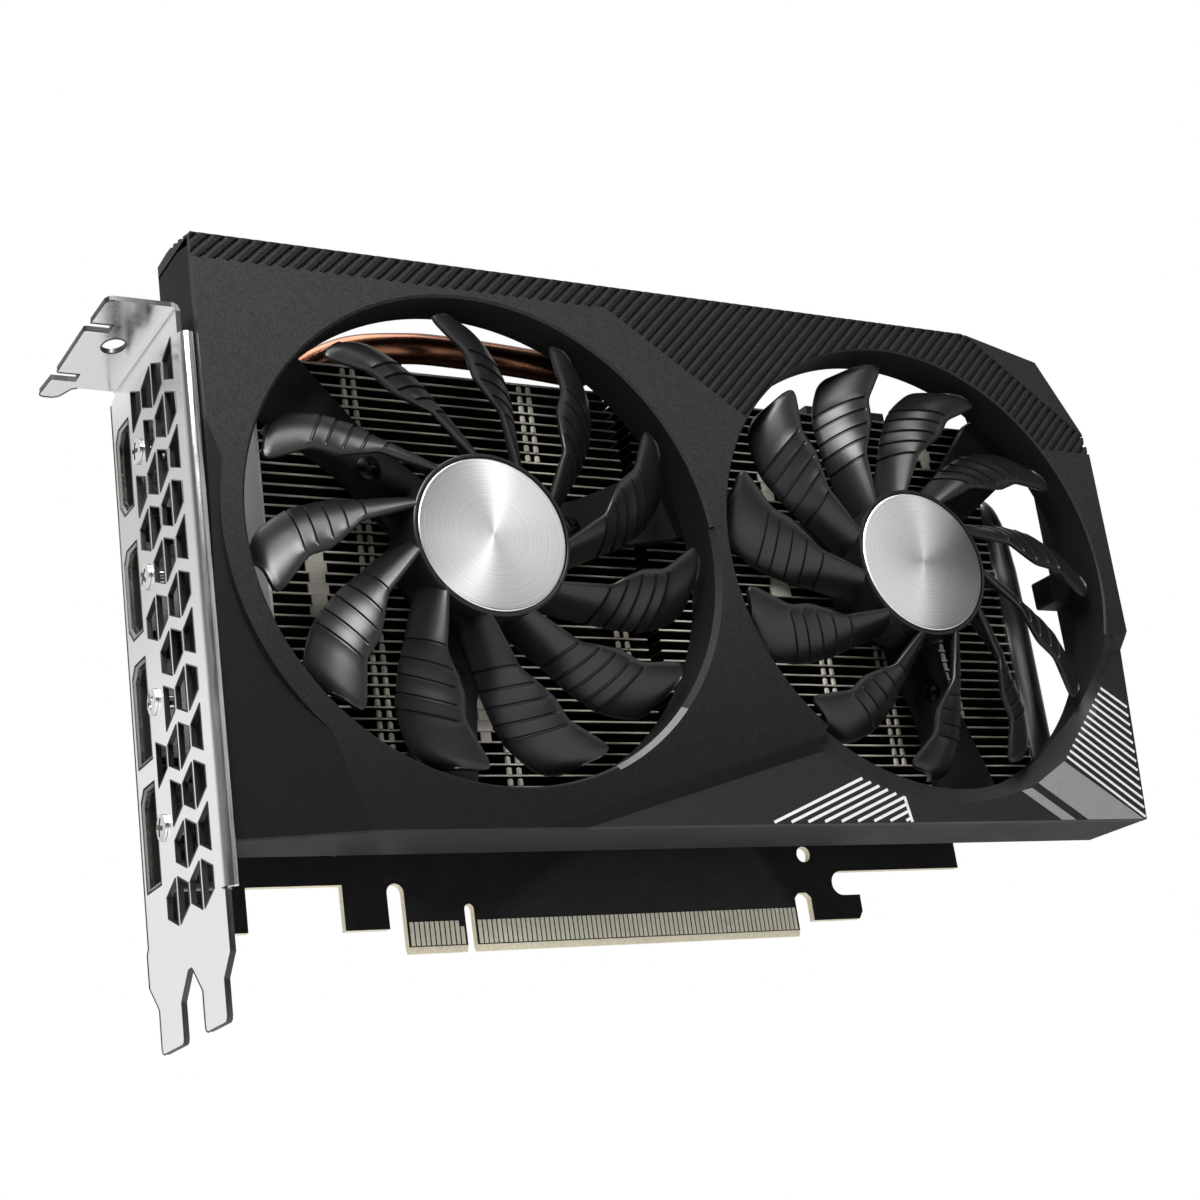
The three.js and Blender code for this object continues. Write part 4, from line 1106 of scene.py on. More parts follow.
def make_rotor(side, tip, mirror):
    """Hub and blades. The right rotor is the mirror image of the left one."""
    cx, cz = FANS[side]
    profile = [
        (1.4, HUB_FACE + 0.7), (DISC_R + 0.2, HUB_FACE + 0.7), (DISC_R + 0.25, HUB_FACE + 0.1),
        (DISC_R + 0.45, HUB_FACE), (HUB_R - 0.35, HUB_FACE), (HUB_R - 0.1, HUB_FACE + 0.12),
        (HUB_R, HUB_FACE + 0.4), (HUB_R, HUB_BACK - 0.3), (HUB_R - 0.3, HUB_BACK),
        (13.9, HUB_BACK), (13.9, HUB_FACE + 1.8), (1.4, HUB_FACE + 1.8),
    ]
    shape = Shape()
    shape.lathe(profile, FANS[side], 96, paint=1)
    rings = blade_rings()
    for k in range(BLADE_COUNT):
        a = math.radians(tip + 360 * k / BLADE_COUNT)
        c, s = math.cos(a), math.sin(a)
        turned = []
        for ring in rings:
            points = [(p.x * c - p.z * s, p.y, p.x * s + p.z * c) for p in ring]
            turned.append([((-x if mirror else x) + cx, y, z + cz) for x, y, z in points])
        shape.loft(turned)
    body, rotor = f"{side}_fan", f"{side}_fan_rotor"
    shape.piece(f"{side}_fan_blades", ["fan", "hub"], [rotor], body, crease=38)


def make_disc(side):
    """The spun disc, about its own origin so that its rings turn with it."""
    cx, cz = FANS[side]
    front, back = HUB_FACE - 0.05, HUB_FACE + 0.35
    profile = [
        (0.02, front), (DISC_R - 0.5, front), (DISC_R - 0.2, front + 0.04),
        (DISC_R, front + 0.2), (DISC_R, back), (0.02, back),
    ]
    turns = range(0, 360, 3)
    shape = Shape()
    shape.loft([[to_front(*polar((0, 0), r, a), y) for a in turns] for r, y in profile])
    body, node = f"{side}_fan", f"{side}_fan_disc"
    disc = shape.piece(f"{side}_hub_disc", ["disc"], [node], body)
    disc.location = (cx * MM, 0, cz * MM)


def make_fan_screws(side):
    """Black screws that hold the three arms of a fan mount."""
    for k in range(3):
        node = f"{side}_fan_screw_{k + 1}"
        low, high = box_of(node)
        x, _, z = middle_of(node)
        shape = Shape()
        add_screw_head(shape, (x, low.y, z), 2.3, 0.9, "y")
        shape.rod(1.0, low.y + 0.5, high.y, (x, z), to_front)
        shape.piece(f"{node}_head", ["black_screw"] * 2, [node])


def add_screw_head(shape, tip, radius, height, axis, turn=20.0):
    """A pan head with a cross recess; tip is the middle of its outer face."""
    arm, half = radius * 0.66, radius * 0.17
    cross = []
    for k in range(4):
        a = math.radians(90 * k + turn)
        c, s = math.cos(a), math.sin(a)
        for u, v in ((half, -half), (arm, -half), (arm, half), (half, half)):
            cross.append((u * c - v * s, u * s + v * c))
    rims = [circle((0, 0), radius * share) for share in (1.0, 0.85)]
    points, triangles = triangulate([*rims, cross])

    def dome(u, v):
        return 0.42 * height * (math.hypot(u, v) / radius) ** 3

    def place(u, v, h):
        if axis == "x":
            return tip[0] + h, tip[1] + u, tip[2] + v
        return tip[0] + u, tip[1] + (h if axis == "y" else -h), tip[2] + v

    def sunk(u, v):
        return height * 0.5

    def base(u, v):
        return height

    shape.slab(points, within(points, triangles, rims[0], [cross]), dome, base, place)
    shape.slab(points, within(points, triangles, cross), sunk, base, place, paint=1)


# ---------------------------------------------------------------- heatsink
FIN_PITCH = 2.05
FIN_COUNT = 43
FIN_SHEET = 0.32
TAB_COLUMNS = {
    "left": ((37.4, 26, 109), (61.5, 22, 50), (88.0, 40, 60), (74.0, 88, 106)),
    "right": ((148.4, 28, 56), (165.7, 38, 60), (113.5, 48, 84), (134.5, 26, 50)),
}
FOLDED_STRIPS = {
    "left": ((25.4, 29.4, 55.0, 68.2), (55.0, 58.2, 32.5, 43.0)),
    "right": ((125.4, 128.8, 83.0, 91.0), (123.9, 128.8, 62.6, 67.2), (168.4, 171.6, 93.0, 101.0)),
}


FIN_LIP = 0.4
FIN_BASE = 0.5
TAB_WIDTH, TAB_HEIGHT = 1.1, 1.4
TAB_PAIR = (-1.55, 0.45)
END_SHEET_LEFT = (46, 99)


def add_fin_folds(shape, side, low, heights):
    """Columns of folded tabs that lock the fins together, and ragged folded strips."""
    for x, bottom, top in TAB_COLUMNS[side]:
        for z in (z + FIN_SHEET for z in heights if bottom < z < top):
            for left in (x + dx for dx in TAB_PAIR):
                tab_high = (left + TAB_WIDTH, low.y + 0.5, z + TAB_HEIGHT)
                shape.box((left, low.y - 0.15, z - 0.25), tab_high, 0.28)
    for left, right, bottom, top in FOLDED_STRIPS[side]:
        for k, z in enumerate(heights):
            if bottom < z < top:
                ragged = 0.5 * (k % 2)
                strip_high = (right - ragged, low.y + 0.4, z + FIN_PITCH)
                shape.box((left + ragged, low.y - 0.12, z), strip_high, 0.1)


def make_fins(side):
    """A stack of thin fins with its folds, a base and an end sheet."""
    node = f"{side}_fin_stack"
    low, high = box_of(node)
    shape = Shape()
    heights = [low.z + k * FIN_PITCH for k in range(FIN_COUNT)]
    for k, z in enumerate(heights):
        front = low.y + 0.15 * math.sin(k * 2.4)
        inner = front + FIN_LIP
        shape.box((low.x, front, z), (high.x, inner, z + FIN_SHEET), 0.04)
        inner_high = (high.x, high.y - FIN_BASE, z + FIN_SHEET - 0.03)
        shape.box((low.x, inner, z + 0.03), inner_high, 0.02, paint=1)
    add_fin_folds(shape, side, low, heights[:-1])
    shape.box((low.x, high.y - FIN_BASE, low.z), tuple(high), 0.1, paint=1)
    outer, bottom, top, paint = high.x, low.z, high.z, 1
    # the left end sheet takes the pale finish: painted light
    if side == "left":
        outer, (bottom, top), paint = low.x, END_SHEET_LEFT, 2
    shape.box((outer - 0.3, low.y + 0.1, bottom), (outer + 0.3, high.y, top), 0.1, paint)
    shape.piece(f"{side}_fins", ["fin", "fin_inside", "end_sheet"], [node])


PIPE_R = 3.0
PIPE_Y = -6.6
CHIP = middle_of("processor_package")
CHIP_X, CHIP_Z = CHIP.x, CHIP.z
PIPE_SPACING = 2 * PIPE_R + 0.9
HIGH_Z, LOW_Z = CHIP_Z + PIPE_SPACING, CHIP_Z - PIPE_SPACING
END_X, END_Y = 187.3, -16
PIPES = {
    "top_heat_pipe": [
        (104, PIPE_Y, HIGH_Z), (86, PIPE_Y, HIGH_Z), (66, PIPE_Y, HIGH_Z), (44, PIPE_Y, 72),
        (33, PIPE_Y, 82), (30, PIPE_Y, 95), (32, PIPE_Y, 107), (40, -11.5, 111.6),
        (52, -14.5, 112.6), (64, -14.5, 112.8), (78, -14.5, 112.2), (93, -13.5, 111.6),
    ],
    "end_heat_pipe": [
        (72, PIPE_Y, CHIP_Z), (104, PIPE_Y, CHIP_Z), (140, PIPE_Y, 65), (166, PIPE_Y, 77),
        (183.5, PIPE_Y + 0.2, 88), (187.5, -9.0, 90.8), (187.5, -14.5, 86),
        (END_X, END_Y, 74), (END_X, END_Y, 55), (END_X - 0.2, END_Y, 27),
    ],
    "low_heat_pipe": [
        (72, PIPE_Y, LOW_Z), (104, PIPE_Y, LOW_Z), (134, PIPE_Y, 53), (152, PIPE_Y, 45),
        (158, PIPE_Y, 34), (158.5, PIPE_Y, 22),
    ],
}
FLAT_BELOW, FLAT_BLEND = 86.0, 12.0
FLATTENING = 0.3


def flatten_end(shape):
    """Press the upright run of the end pipe flat, so that it covers the ends of the fins."""
    for k, (x, y, z) in enumerate(shape.verts):
        if x > END_X - 1.1 * PIPE_R:
            pressed = clamp((FLAT_BELOW - z) / FLAT_BLEND)
            wide = END_X + (x - END_X) * (1 + FLATTENING * pressed)
            thin = END_Y + (y - END_Y) * (1 - FLATTENING * pressed) - 0.5 * pressed
            shape.verts[k] = (wide, thin, z)


def make_pipes():
    """Round heat pipes with swaged ends."""
    for node, route in PIPES.items():
        shape = Shape()
        points = curve_through([Vector(p) for p in route], 12)
        radii = [PIPE_R] * len(points)
        for k, scale in enumerate((0.35, 0.75, 0.95)):
            radii[k] = radii[-1 - k] = PIPE_R * scale
        shape.tube(points, radii)
        finish, slot = "copper", "pipe_copper"
        if node == "end_heat_pipe":
            flatten_end(shape)
            finish, slot = "pipe", "pipe_nickel"
        shape.piece(node.replace("heat_pipe", "pipe_run"), [finish], [node])


# ---------------------------------------------------------------- circuit board
BOARD_LOW, BOARD_HIGH = box_of("circuit_board")
BOARD_THICK = BOARD_HIGH.y - BOARD_LOW.y
SHELF = 12.7
TONGUE_LEFT, TONGUE_RIGHT = 46.3, 131.1
KEY_LEFT, KEY_RIGHT = 58.0, 59.9
BEVEL_TOP, BEVEL_DEPTH = 1.1, 0.45
FREE_HOLE = (134.9, 16.3)
HOLE_R = 1.6
SOCKETS = ["hdmi_socket_1", "hdmi_socket_2", "dp_socket_1", "dp_socket_2"]
SCREWS = range(1, 5)


def board_outline():
    """Outline of the board in (x, z): lower edge with its tongue, key notch and hook."""
    guide, key = 1.65, 0.95
    corner = (TONGUE_LEFT - guide, SHELF - guide)
    slot_r = (SHELF - 7.8) / 2
    return [
        (BOARD_LOW.x, 4.8), (16.5, 4.8), (16.5, SHELF), (34.5, SHELF), (34.5, 4.5),
        (TONGUE_LEFT - 2 * guide, 4.5),
        *arc(corner, guide, 180, 0, 10),
        (TONGUE_LEFT, 0), (KEY_LEFT, 0),
        *arc(((KEY_LEFT + KEY_RIGHT) / 2, 7.65), key, 180, 0, 8),
        (KEY_RIGHT, 0), (TONGUE_RIGHT, 0), (TONGUE_RIGHT, 7.5), (TONGUE_RIGHT + 1, 8.5), (134.0, 8.5),
        (135.0, 7.5), (135.0, 2.9), (146.2, 2.9), (147.2, 4.4), (147.2, 7.8),
        *arc((143.2, 7.8 + slot_r), slot_r, -90, -270, 10),
        (BOARD_HIGH.x, SHELF), (BOARD_HIGH.x, BOARD_HIGH.z), (BOARD_LOW.x, BOARD_HIGH.z),
    ]


def screw_holes(kind, radius):
    """Round holes for four screws that pass through a plate in (x, z)."""
    places = [middle_of(f"{kind}_{k}") for k in SCREWS]
    return [circle((place.x, place.z), radius) for place in places]


def board_openings():
    """Notches behind the sockets, the screws' holes and the free one."""
    openings = []
    for name in SOCKETS:
        low, high = box_of(name)
        right, bottom, top = high.x + 1.8, low.z - 0.3, high.z + 0.3
        openings.append([(0, bottom), (right, bottom), (right, top), (0, top)])
    openings.append(circle(FREE_HOLE, HOLE_R))
    return openings + screw_holes("cooler_screw", HOLE_R) + screw_holes("backplate_screw", HOLE_R)


def make_board():
    """The board: black mask on its faces, pale laminate on its edges, a bevelled tongue."""
    loop = board_outline()
    openings = board_openings()
    bevel_line = [(TONGUE_LEFT - 1, BEVEL_TOP), (TONGUE_RIGHT + 1, BEVEL_TOP)]
    points, triangles = triangulate([loop, *openings], [bevel_line])

    def front(x, z):
        on_tongue = TONGUE_LEFT - 0.5 < x < TONGUE_RIGHT + 0.5
        return BEVEL_DEPTH * max(0.0, 1 - z / BEVEL_TOP) if on_tongue else 0.0

    def back(x, z):
        return BOARD_THICK - front(x, z)

    shape = Shape()
    kept = within(points, triangles, loop, openings)
    shape.slab(points, kept, front, back, to_front, edge_paint=1)
    for k, face in enumerate(shape.faces):
        if all(shape.verts[i][2] < BEVEL_TOP + 0.05 for i in face):
            shape.paint[k] = 1
    finishes = ["mask", "laminate"]
    shape.piece("board_laminate", finishes, ["circuit_board"], crease=25)


CONTACTS = {"short": 11, "long": 71}
PAD_HALF = 0.37


def make_contacts():
    """Edge contacts, one millimetre apart. The last one before the key is shorter in front."""
    for side in ("front", "back"):
        for field, count in CONTACTS.items():
            node = f"contacts_{field}_{side}"
            low, high = box_of(node)
            shape = Shape()
            pitch = (high.x - low.x) / count
            for k in range(count):
                x = low.x + pitch * (k + 0.5)
                is_short = (side, field, k) == ("front", "short", count - 1)
                top = high.z - (1.1 if is_short else 0)
                shape.box((x - PAD_HALF, low.y, low.z), (x + PAD_HALF, high.y, top), 0.03)
            shape.piece(f"{node}_pads", ["pad"], [node])


def make_small_parts():
    """Small parts along the lower edge and round the processor: capacitors, resistors, coils."""
    shape = Shape()
    spots = [(18 + 3.1 * k, 19.5 + 0.6 * math.sin(k)) for k in range(9)]
    spots += [(95 + 5.2 * k, 20.2) for k in range(7)]
    spots += [(120 + 4.1 * k, 100 - 3.7 * (k % 3)) for k in range(6)]
    for k, (x, z) in enumerate(spots):
        w, h = (0.5, 0.9) if k % 3 else (0.8, 0.6)
        tall = 0.45 + 0.15 * (k % 2)
        body, cap = w * 0.62, w * 0.66
        shape.box((x - body, -tall, z - h), (x + body, -0.02, z + h), 0.06, paint=k % 2)
        for end in (z - h, z + h):
            cap_low = (x - cap, -tall - 0.02, end - 0.17)
            shape.box(cap_low, (x + cap, -0.01, end + 0.17), 0.04, paint=2)
    for k in range(5):
        z = 30 + 13 * k
        shape.box((122, -2.6, z), (129, -0.05, z + 7), 0.4, paint=1)
    shape.piece("board_small_parts", ["ceramic", "chip", "solder"])


def make_power_socket():
    """An eight-way supplementary power socket with a latch ramp and pins."""
    low, high = box_of("power_socket")
    middle = middle_of("power_socket")
    shape = Shape()
    wall, latch, pin = 1.3, 2.2, 0.55
    floor = low.z + 3
    shape.box(tuple(low), (high.x, high.y, floor), 0.2)
    shape.box((low.x, low.y, floor), (high.x, low.y + wall, high.z), 0.15)
    shape.box((low.x, high.y - wall, floor), (high.x, high.y, high.z), 0.15)
    columns, rows = 4, 2
    pitch = (high.x - low.x - wall) / columns
    for k in range(columns + 1):
        x = low.x + pitch * k
        shape.box((x, low.y + wall - 0.2, floor), (x + wall, high.y - wall + 0.2, high.z), 0.12)
    rib_high = (high.x - 0.5, middle.y + 0.5, high.z - 0.05)
    shape.box((low.x + 0.5, middle.y - 0.5, floor), rib_high, 0.12)
    latch_high = (middle.x + latch, low.y + 0.4, high.z - 1.5)
    shape.box((middle.x - latch, low.y, high.z - 4.5), latch_high, 0.15)
    for column in range(columns):
        for row in range(rows):
            x = low.x + wall / 2 + pitch * (column + 0.5)
            y = middle.y + (row - 0.5) * 4.2
            pin_high = (x + pin, y + pin, high.z - 3)
            shape.box((x - pin, y - pin, floor - 0.5), pin_high, 0.15, paint=1)
    finishes = ["connector", "gold"]
    shape.piece("power_plug_socket", finishes, ["power_socket"])


# ---------------------------------------------------------------- bracket and its sockets
BRACKET_LOW, BRACKET_HIGH = box_of("io_bracket")
SHEET = 0.9
FOLD = 0.6
LIP_TOP = 100.5
LIP_BOTTOM = 5.4
LIP_DEPTH = 2.3
FLANGE_TOP = BRACKET_HIGH.z
BRACKET_FRONT = BRACKET_LOW.y
PLATE_FRONT, PLATE_BACK = -33.4, 0.8
FOLD_Z = FLANGE_TOP - SHEET - FOLD
LIP_Y = BRACKET_FRONT + SHEET + FOLD
BURR_R = 0.14

VENT_ROWS, VENT_COLUMNS = 12, 5
VENT_FIRST = (-30.6, 97.6)
VENT_PITCH = (5.9, -8.15)
VENT_LIMITS = (-30.5, -7.4)
VENT_HALF, VENT_BAR = 5.4, 0.55
VENT_PEAK, VENT_SHOULDER = 4.2, 1.8
SCREW_GUARD = (5.4, 5.6)


def near_screw(y, z, screws):
    wide, tall = SCREW_GUARD
    return any(math.hypot((y - sy) / wide, (z - sz) / tall) <= 1 for sy, sz in screws)


def vent_loops(screws):
    """Half hexagons in a staggered field, clear of the screws."""
    low = VENT_PEAK - (VENT_PEAK - VENT_SHOULDER) * VENT_BAR / VENT_HALF
    vents = []
    cells = [(row, column) for row in range(VENT_ROWS) for column in range(row % 2, VENT_COLUMNS, 2)]
    for row, column in cells:
        y, z = VENT_FIRST[0] + VENT_PITCH[0] * column, VENT_FIRST[1] + VENT_PITCH[1] * row
        for side in (-1, 1):
            outer, inner = y + side * VENT_HALF, y + side * VENT_BAR
            in_field = VENT_LIMITS[0] <= outer <= VENT_LIMITS[1]
            if in_field and not near_screw(y + side * VENT_HALF / 2, z, screws):
                upper = [(inner, z + low), (outer, z + VENT_SHOULDER)]
                vents.append([*upper, (outer, z - VENT_SHOULDER), (inner, z - low)])
    return vents


def socket_loop(name, grow):
    """Outline of a socket in (y, z), grown or shrunk."""
    low, high = box_of(name)
    front, back, bottom, top = low.y - grow, high.y + grow, low.z - grow, high.z + grow
    base = [(back - 2.0, bottom), (back, bottom + 2.2)] if name.startswith("hdmi") else [(back, bottom)]
    return [(front, bottom), *base, (back, top - 2.0), (back - 1.8, top), (front, top)]


def tail_end(front, back):
    """The rounded lower end of a bracket tail between two edges."""
    radius = 1.0
    z = BRACKET_LOW.z + radius
    first = arc((front + radius, z), radius, 180, 270, 2)
    return first + arc((back - radius, z), radius, 270, 360, 2)


def bracket_loop():
    """Outline of the bracket's flat plate in (y, z), up to where its top folds over."""
    front_tail, back_tail = (-31.4, -21.2), (-11.0, 0.3)
    return [
        (PLATE_FRONT, FOLD_Z), (PLATE_FRONT, LIP_TOP + 0.3), (LIP_Y, LIP_TOP + 0.3),
        (LIP_Y, LIP_BOTTOM), (BRACKET_FRONT, LIP_BOTTOM - 0.6), (BRACKET_FRONT, -4.8),
        (front_tail[0], -8.3), *tail_end(*front_tail), (front_tail[1], -8.2), (-17.4, -4.2),
        (-16.9, -3.8), (-15.5, -3.8), (-15.0, -4.2), (back_tail[0], -8.2), *tail_end(*back_tail),
        (back_tail[1], -7.4), (4.6, -3.0), (4.6, 2.7), (3.8, 3.5), (3.8, 103.9), (PLATE_BACK, FOLD_Z),
    ]


def flange_loop():
    """Outline of the folded top flange in (x, y), from the fold to its fingers."""
    slit, reach = -7.9, -12.2
    return [
        (-FOLD, PLATE_FRONT), (-10.4, PLATE_FRONT), (-11.2, -33.1), (-11.7, -32.2), (-11.9, -24.6),
        (slit, -24.6), (slit, -21.8), (reach + 0.3, -21.8), (reach, -21.4), (reach - 0.1, -5.2),
        (reach + 0.2, -4.8), (slit - 0.2, -4.8), (slit - 0.2, -2.0), (reach - 0.3, -2.0),
        (reach - 0.7, 4.2), (reach - 0.4, 5.1), (reach + 0.4, 5.4), (-10.2, 5.4), (-9.2, 4.6),
        (-8.4, 2.6), (-7.9, 1.3), (-7.0, PLATE_BACK), (-FOLD, PLATE_BACK),
    ]


def plate(shape, loop, holes, low, high, place, edge_paint=0):
    """A flat sheet with holes."""
    points, triangles = triangulate([loop, *holes])
    kept = within(points, triangles, loop, holes)
    shape.slab(points, kept, lambda a, b: low, lambda a, b: high, place, edge_paint=edge_paint)


def add_fold(shape, bend, start, end):
    """A quarter-round fold of the sheet between two ends."""
    rings = []
    for along in (start, end):
        ring = []
        for radius in (FOLD, FOLD + SHEET):
            angles = [15 * k for k in range(7)]
            if radius == FOLD:
                angles.reverse()
            ring += [bend(radius, math.radians(a), along) for a in angles]
        rings.append(ring)
    shape.loft(rings)


def make_bracket():
    """The folded sheet-metal bracket."""
    screws = [tuple(middle_of(f"bracket_screw_{k}"))[1:] for k in SCREWS]
    holes = vent_loops(screws)
    holes += [socket_loop(name, 0.3) for name in SOCKETS]
    holes += [circle(place, 1.5) for place in screws]
    turns = [math.radians(10 * k) for k in range(36)]
    slot_hole = [(-5.65 + 2.1 * math.cos(a), -17.0 + 2.9 * math.sin(a)) for a in turns]
    under = FLANGE_TOP - SHEET
    shape = Shape()
    # the plate's cut edges take the dark edge finish: painted shade
    plate(shape, bracket_loop(), holes, 0, SHEET, to_side, edge_paint=1)
    plate(shape, flange_loop(), [slot_hole], under, FLANGE_TOP, to_top, edge_paint=1)

    def top_bend(radius, a, y):
        return -FOLD + radius * math.cos(a), y, FOLD_Z + radius * math.sin(a)

    def lip_bend(radius, a, z):
        return SHEET + FOLD - radius * math.cos(a), LIP_Y - radius * math.sin(a), z

    add_fold(shape, top_bend, PLATE_FRONT, PLATE_BACK)
    add_fold(shape, lip_bend, LIP_BOTTOM, LIP_TOP)
    # thin rims round the holes and edges, in the dark edge finish: painted shade
    rims = [[to_side(*p, 0.02) for p in loop + loop[:1]] for loop in holes]
    rims.append([to_side(*p, 0.02) for p in bracket_loop()[3:-1]])
    rims.append([to_top(*p, under) for p in flange_loop()[1:-1]])
    rims.append([to_top(*p, under) for p in slot_hole + slot_hole[:1]])
    for rim in rims:
        shape.tube([Vector(p) for p in rim], BURR_R, sides=6, paint=1)
    lip_low = (SHEET + FOLD, BRACKET_FRONT, LIP_BOTTOM)
    shape.box(lip_low, (LIP_DEPTH, BRACKET_FRONT + SHEET, LIP_TOP), 0.08)
    finishes = ["nickel", "nickel_edge_painted_shade"]
    shape.piece("bracket_sheet", finishes, ["io_bracket"], crease=25)


def make_socket(name):
    """A socket: plated shell, black lining and floor, and four contact springs."""
    low, high = box_of(name)
    wall, lining = 0.5, 0.35
    deep, floor = high.x, high.x - 1.2
    outer, inner, liner = [socket_loop(name, grow) for grow in (0, -wall, -wall - lining)]
    shell = ((inner, 0.25), (outer, 0.0), (outer, deep), (inner, deep))
    black = ((liner, 0.9), (inner, 0.9), (inner, floor), (liner, floor))
    shape = Shape()
    for paint, stations in enumerate((shell, black)):
        rings = [[to_side(*p, x) for p in loop] for loop, x in stations]
        shape.loft(rings, paint, closed=True)
    shape.prism(inner, floor, deep - 0.1, to_side, paint=1)
    for s in (-1, 1):
        z = (low.z + high.z) / 2 + s * (high.z - low.z) * 0.28
        for y in (low.y + wall + 0.15, high.y - wall - 0.15):
            shape.box((1.2, y - 0.12, z - 0.9), (6.5, y + 0.12, z + 0.9), 0.05)
    shape.piece(f"{name}_shell", ["steel", "insulator"], [name])


def make_socket_tongue(name):
    """The contact tongue of a socket with its gold fingers."""
    node = f"{name}_tongue"
    low, high = box_of(node)
    shape = Shape()
    shape.box((low.x, low.y + 0.2, low.z), (high.x, high.y - 0.2, high.z), 0.12, paint=1)
    count = 19 if name.startswith("hdmi") else 20
    pitch = (high.z - low.z - 1.0) / (count / 2)
    half, thick = pitch * 0.42, 0.24
    for k in range(count):
        z = low.z + 0.5 + pitch * (k // 2 + 0.5)
        y = (low.y, high.y - thick)[k % 2]
        shape.box((low.x - 0.1, y, z - half), (high.x - 0.4, y + thick, z + half), 0.04)
    shape.piece(f"{name}_contacts", ["gold", "insulator"], [node])


def make_bracket_screws():
    """Bright screws beside the sockets."""
    for k in SCREWS:
        node = f"bracket_screw_{k}"
        low, high = box_of(node)
        _, y, z = middle_of(node)
        shape = Shape()
        add_screw_head(shape, (low.x + 0.55, y, z), 2.35, 0.7, "x", turn=31 * k - 16.0)
        shape.rod(1.2, -0.3, high.x, (y, z), to_side)
        shape.piece(f"{node}_head", ["screw", "black_screw"], [node])


# ---------------------------------------------------------------- back of the card
WINDOW_HALF, WINDOW_RIM = 33, 2.4
SLOT_COUNT, SLOT_LEFT = 5, 176
RIB_WIDTH, RIB_LEAN = 2.2, 20


def make_backplate():
    """The stiffening plate behind the board, with a window, vents and pressed borders."""
    low, high = box_of("backplate")
    loop = [
        (low.x, low.z), (196, low.z), (high.x, 26), (high.x, 104), (190, high.z), (low.x, high.z),
    ]
    half = WINDOW_HALF
    signs = ((-1, -1), (1, -1), (1, 1), (-1, 1))
    holes = [[(CHIP_X + sx * half, CHIP_Z + sz * half) for sx, sz in signs]]
    for k in range(SLOT_COUNT):
        z = 40 + 12 * k
        holes.append([(178, z), (192, z), (194, z + 5.5), (180, z + 5.5)])
    holes += screw_holes("backplate_screw", 1.4)
    shape = Shape()
    plate(shape, loop, holes, low.y, high.y, to_front)
    for k in range(6):
        x = 132 + 7 * k
        is_long = x + RIB_WIDTH + RIB_LEAN < SLOT_LEFT
        lean, top = (RIB_LEAN, 98) if is_long else (0, 38)
        rib = [(x, 34), (x + RIB_WIDTH, 34), (x + RIB_WIDTH + lean, top), (x + lean, top)]
        shape.prism(rib, high.y - 0.1, high.y + 0.35, to_front)
    near, far = half + 0.4, half + WINDOW_RIM
    for a, b in ((-far, -near), (near, far)):
        for x0, x1, z0, z1 in ((a, b, -far, far), (-half, half, a, b)):
            strip_low = (CHIP_X + x0, high.y - 0.1, CHIP_Z + z0)
            shape.box(strip_low, (CHIP_X + x1, high.y + 0.4, CHIP_Z + z1), 0.15)
    shape.piece("backplate_sheet", ["paint"], ["backplate"], crease=25)


def make_back_screws():
    """Screws of the backplate, and the cooler's larger ones in its window."""
    for kind, radius, head in (("backplate_screw", 2.4, 1.15), ("cooler_screw", 2.9, 2.2)):
        for k in SCREWS:
            node = f"{kind}_{k}"
            low, high = box_of(node)
            x, _, z = middle_of(node)
            shape = Shape()
            add_screw_head(shape, (x, high.y, z), radius, head, "-y", turn=25 * k - 5.0)
            shape.rod(1.1, low.y, high.y - head + 0.3, (x, z), to_front)
            shape.piece(f"{node}_head", ["screw", "black_screw"], [node])


# ---------------------------------------------------------------- CAD nodes that stay in view
def paint_nodes():
    """Procedural finishes for the CAD nodes that keep their own shape."""
    finishes = {
        "cold_plate": "copper",
        "processor_package": "chip",
        "processor_die": "silicon",
    }
    for side in FANS:
        # the fan mounts inside the card take the shroud's darker copy: painted shade
        finishes[f"{side}_fan_mount"] = "shroud_inside"
        finishes[f"{side}_fan_stator"] = "winding"
        finishes[f"{side}_fan_bearing"] = "gold"
        finishes[f"{side}_fan_shaft"] = "steel"
    for k in range(1, 5):
        finishes[f"memory_chip_{k}"] = "chip"
    for node, finish in finishes.items():
        materials = NODES[node].data.materials
        materials.clear()
        materials.append(PALETTE[finish])


# ---------------------------------------------------------------- camera, floor and light
CAMERA_PLACE = (-0.11394, -0.34015, -0.06298)
CAMERA_TURN = (108.4428, 7.807, -29.0934)
CAMERA_LENS = 63.32
FLOOR_Z = -0.075


def make_camera():
    data = bpy.data.cameras.new("camera")
    data.sensor_width = 36
    data.lens = CAMERA_LENS
    data.clip_start = 0.01
    data.clip_end = 20
    camera = add_object("camera", data)
    camera.location = CAMERA_PLACE
    camera.rotation_euler = [math.radians(a) for a in CAMERA_TURN]
    bpy.context.scene.camera = camera


def make_floor():
    mesh = bpy.data.meshes.new("floor")
    half = 4.0
    corners = [(-half, -half), (half, -half), (half, half), (-half, half)]
    mesh.from_pydata([(x, y, FLOOR_Z) for x, y in corners], [], [(0, 1, 2, 3)])
    floor = add_object("floor", mesh)
    mesh.materials.append(moulded("floor_paper", 0.67, 0.69, 0.7, 900.0, 0.00001))


def make_softbox(name, place, aim, width, height, watts):
    data = bpy.data.lights.new(name, "AREA")
    data.shape = "RECTANGLE"
    data.size = width
    data.size_y = height
    data.energy = watts
    light = add_object(name, data)
    light.location = place
    towards = Vector(aim) - Vector(place)
    light.rotation_euler = towards.to_track_quat("-Z", "Y").to_euler()


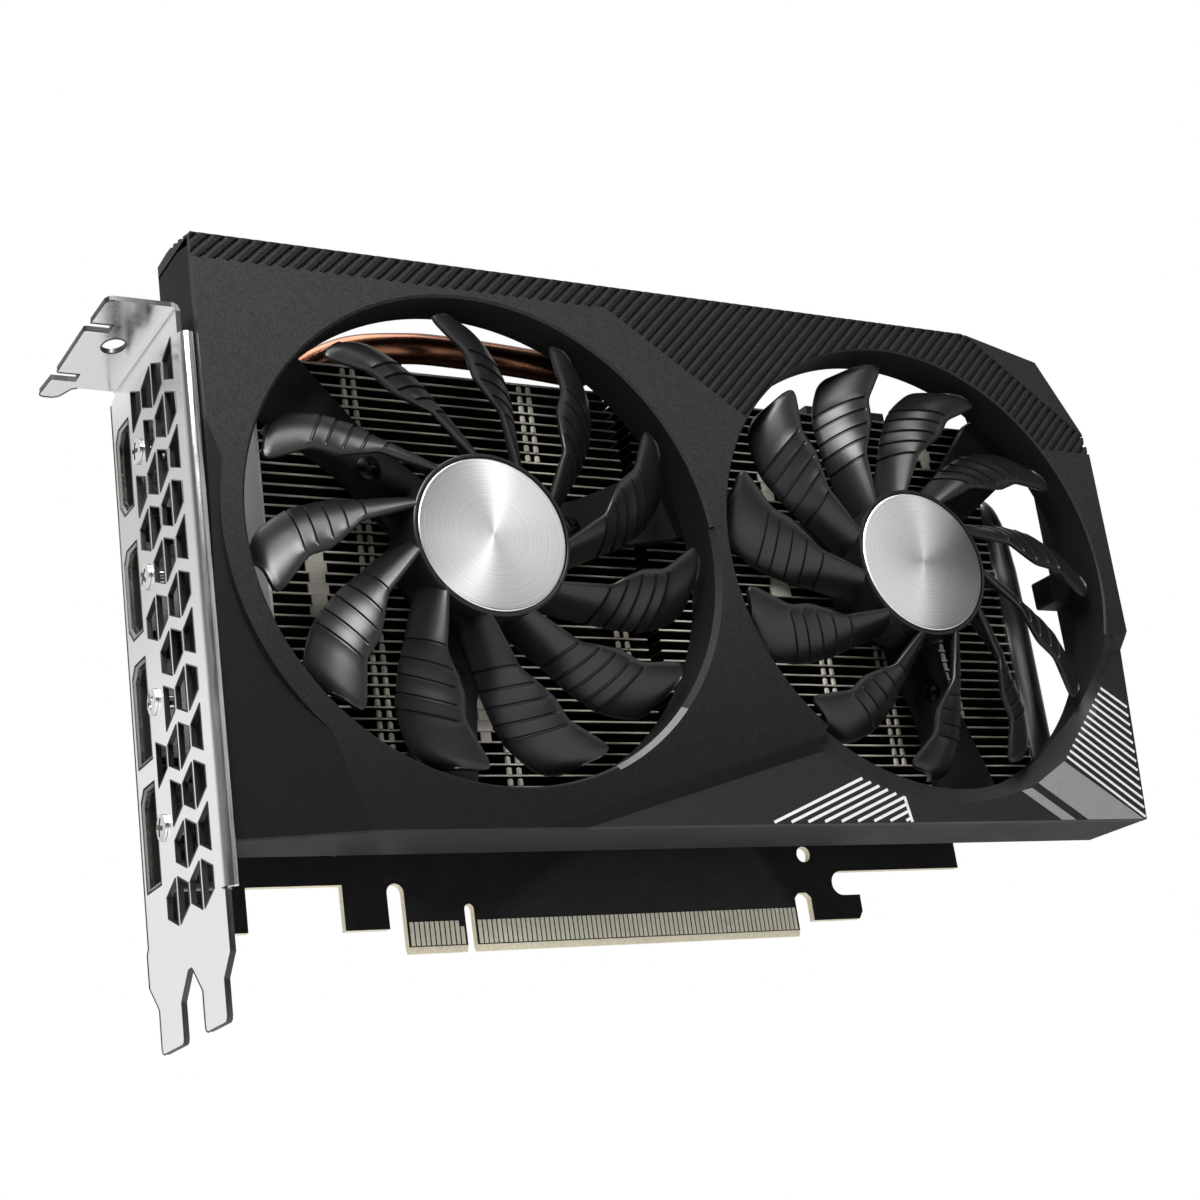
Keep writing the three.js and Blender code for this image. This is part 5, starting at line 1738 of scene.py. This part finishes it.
def make_world():
    """White backdrop, and a dimmer sky for lighting that is bright behind and dark in front."""
    world = bpy.data.worlds.new("studio")
    bpy.context.scene.world = world
    world.use_nodes = True
    tree = world.node_tree
    tree.nodes.clear()

    place = add_node(tree, "ShaderNodeTexCoord").outputs["Generated"]
    split = add_node(tree, "ShaderNodeSeparateXYZ", {"Vector": place}).outputs

    def ramp(value, **ends):
        inputs = {key.replace("_", " "): end for key, end in ends.items()}
        return add_node(tree, "ShaderNodeMapRange", {"Value": value, **inputs}).outputs["Result"]

    behind = ramp(split["Y"], From_Min=-0.1, From_Max=0.75, To_Min=0.03, To_Max=1.0)
    left = ramp(split["X"], From_Min=-0.45, From_Max=-0.9, To_Max=0.2)
    total = add_node(tree, "ShaderNodeMath", {0: behind, 1: left}).outputs["Value"]
    lit = add_node(tree, "ShaderNodeBackground", {"Strength": total}).outputs["Background"]
    white = add_node(tree, "ShaderNodeBackground", {"Color": (1, 1, 1, 1)}).outputs["Background"]
    seen = add_node(tree, "ShaderNodeLightPath").outputs["Is Camera Ray"]
    inputs = {"Fac": seen, 1: lit, 2: white}
    mix = add_node(tree, "ShaderNodeMixShader", inputs).outputs["Shader"]
    add_node(tree, "ShaderNodeOutputWorld", {"Surface": mix})


def make_studio():
    make_camera()
    make_floor()
    make_world()
    middle = (0.1, 0, 0.06)
    make_softbox("overhead", (0.02, -0.1, 0.75), middle, 0.7, 0.5, 6.0)
    make_softbox("right", (0.46, -0.67, 0.35), (0.1, -0.03, 0.066), 0.35, 0.35, 0.6)
    make_softbox("key", (-0.1, -0.3, 0.34), (0.03, -0.03, 0.1), 0.22, 0.18, 2.6)
    scene = bpy.context.scene
    scene.view_settings.view_transform = "Standard"
    scene.view_settings.look = "None"


def main():
    make_studio()
    make_shroud()
    make_prints()
    for side, tip, mirror in (("left", 0.5, False), ("right", 187.2, True)):
        make_rotor(side, tip, mirror)
        make_disc(side)
        make_fan_screws(side)
        make_fins(side)
    make_pipes()
    make_board()
    make_contacts()
    make_small_parts()
    make_power_socket()
    make_bracket()
    for name in SOCKETS:
        make_socket(name)
        make_socket_tongue(name)
    make_bracket_screws()
    make_backplate()
    make_back_screws()
    paint_nodes()


main()
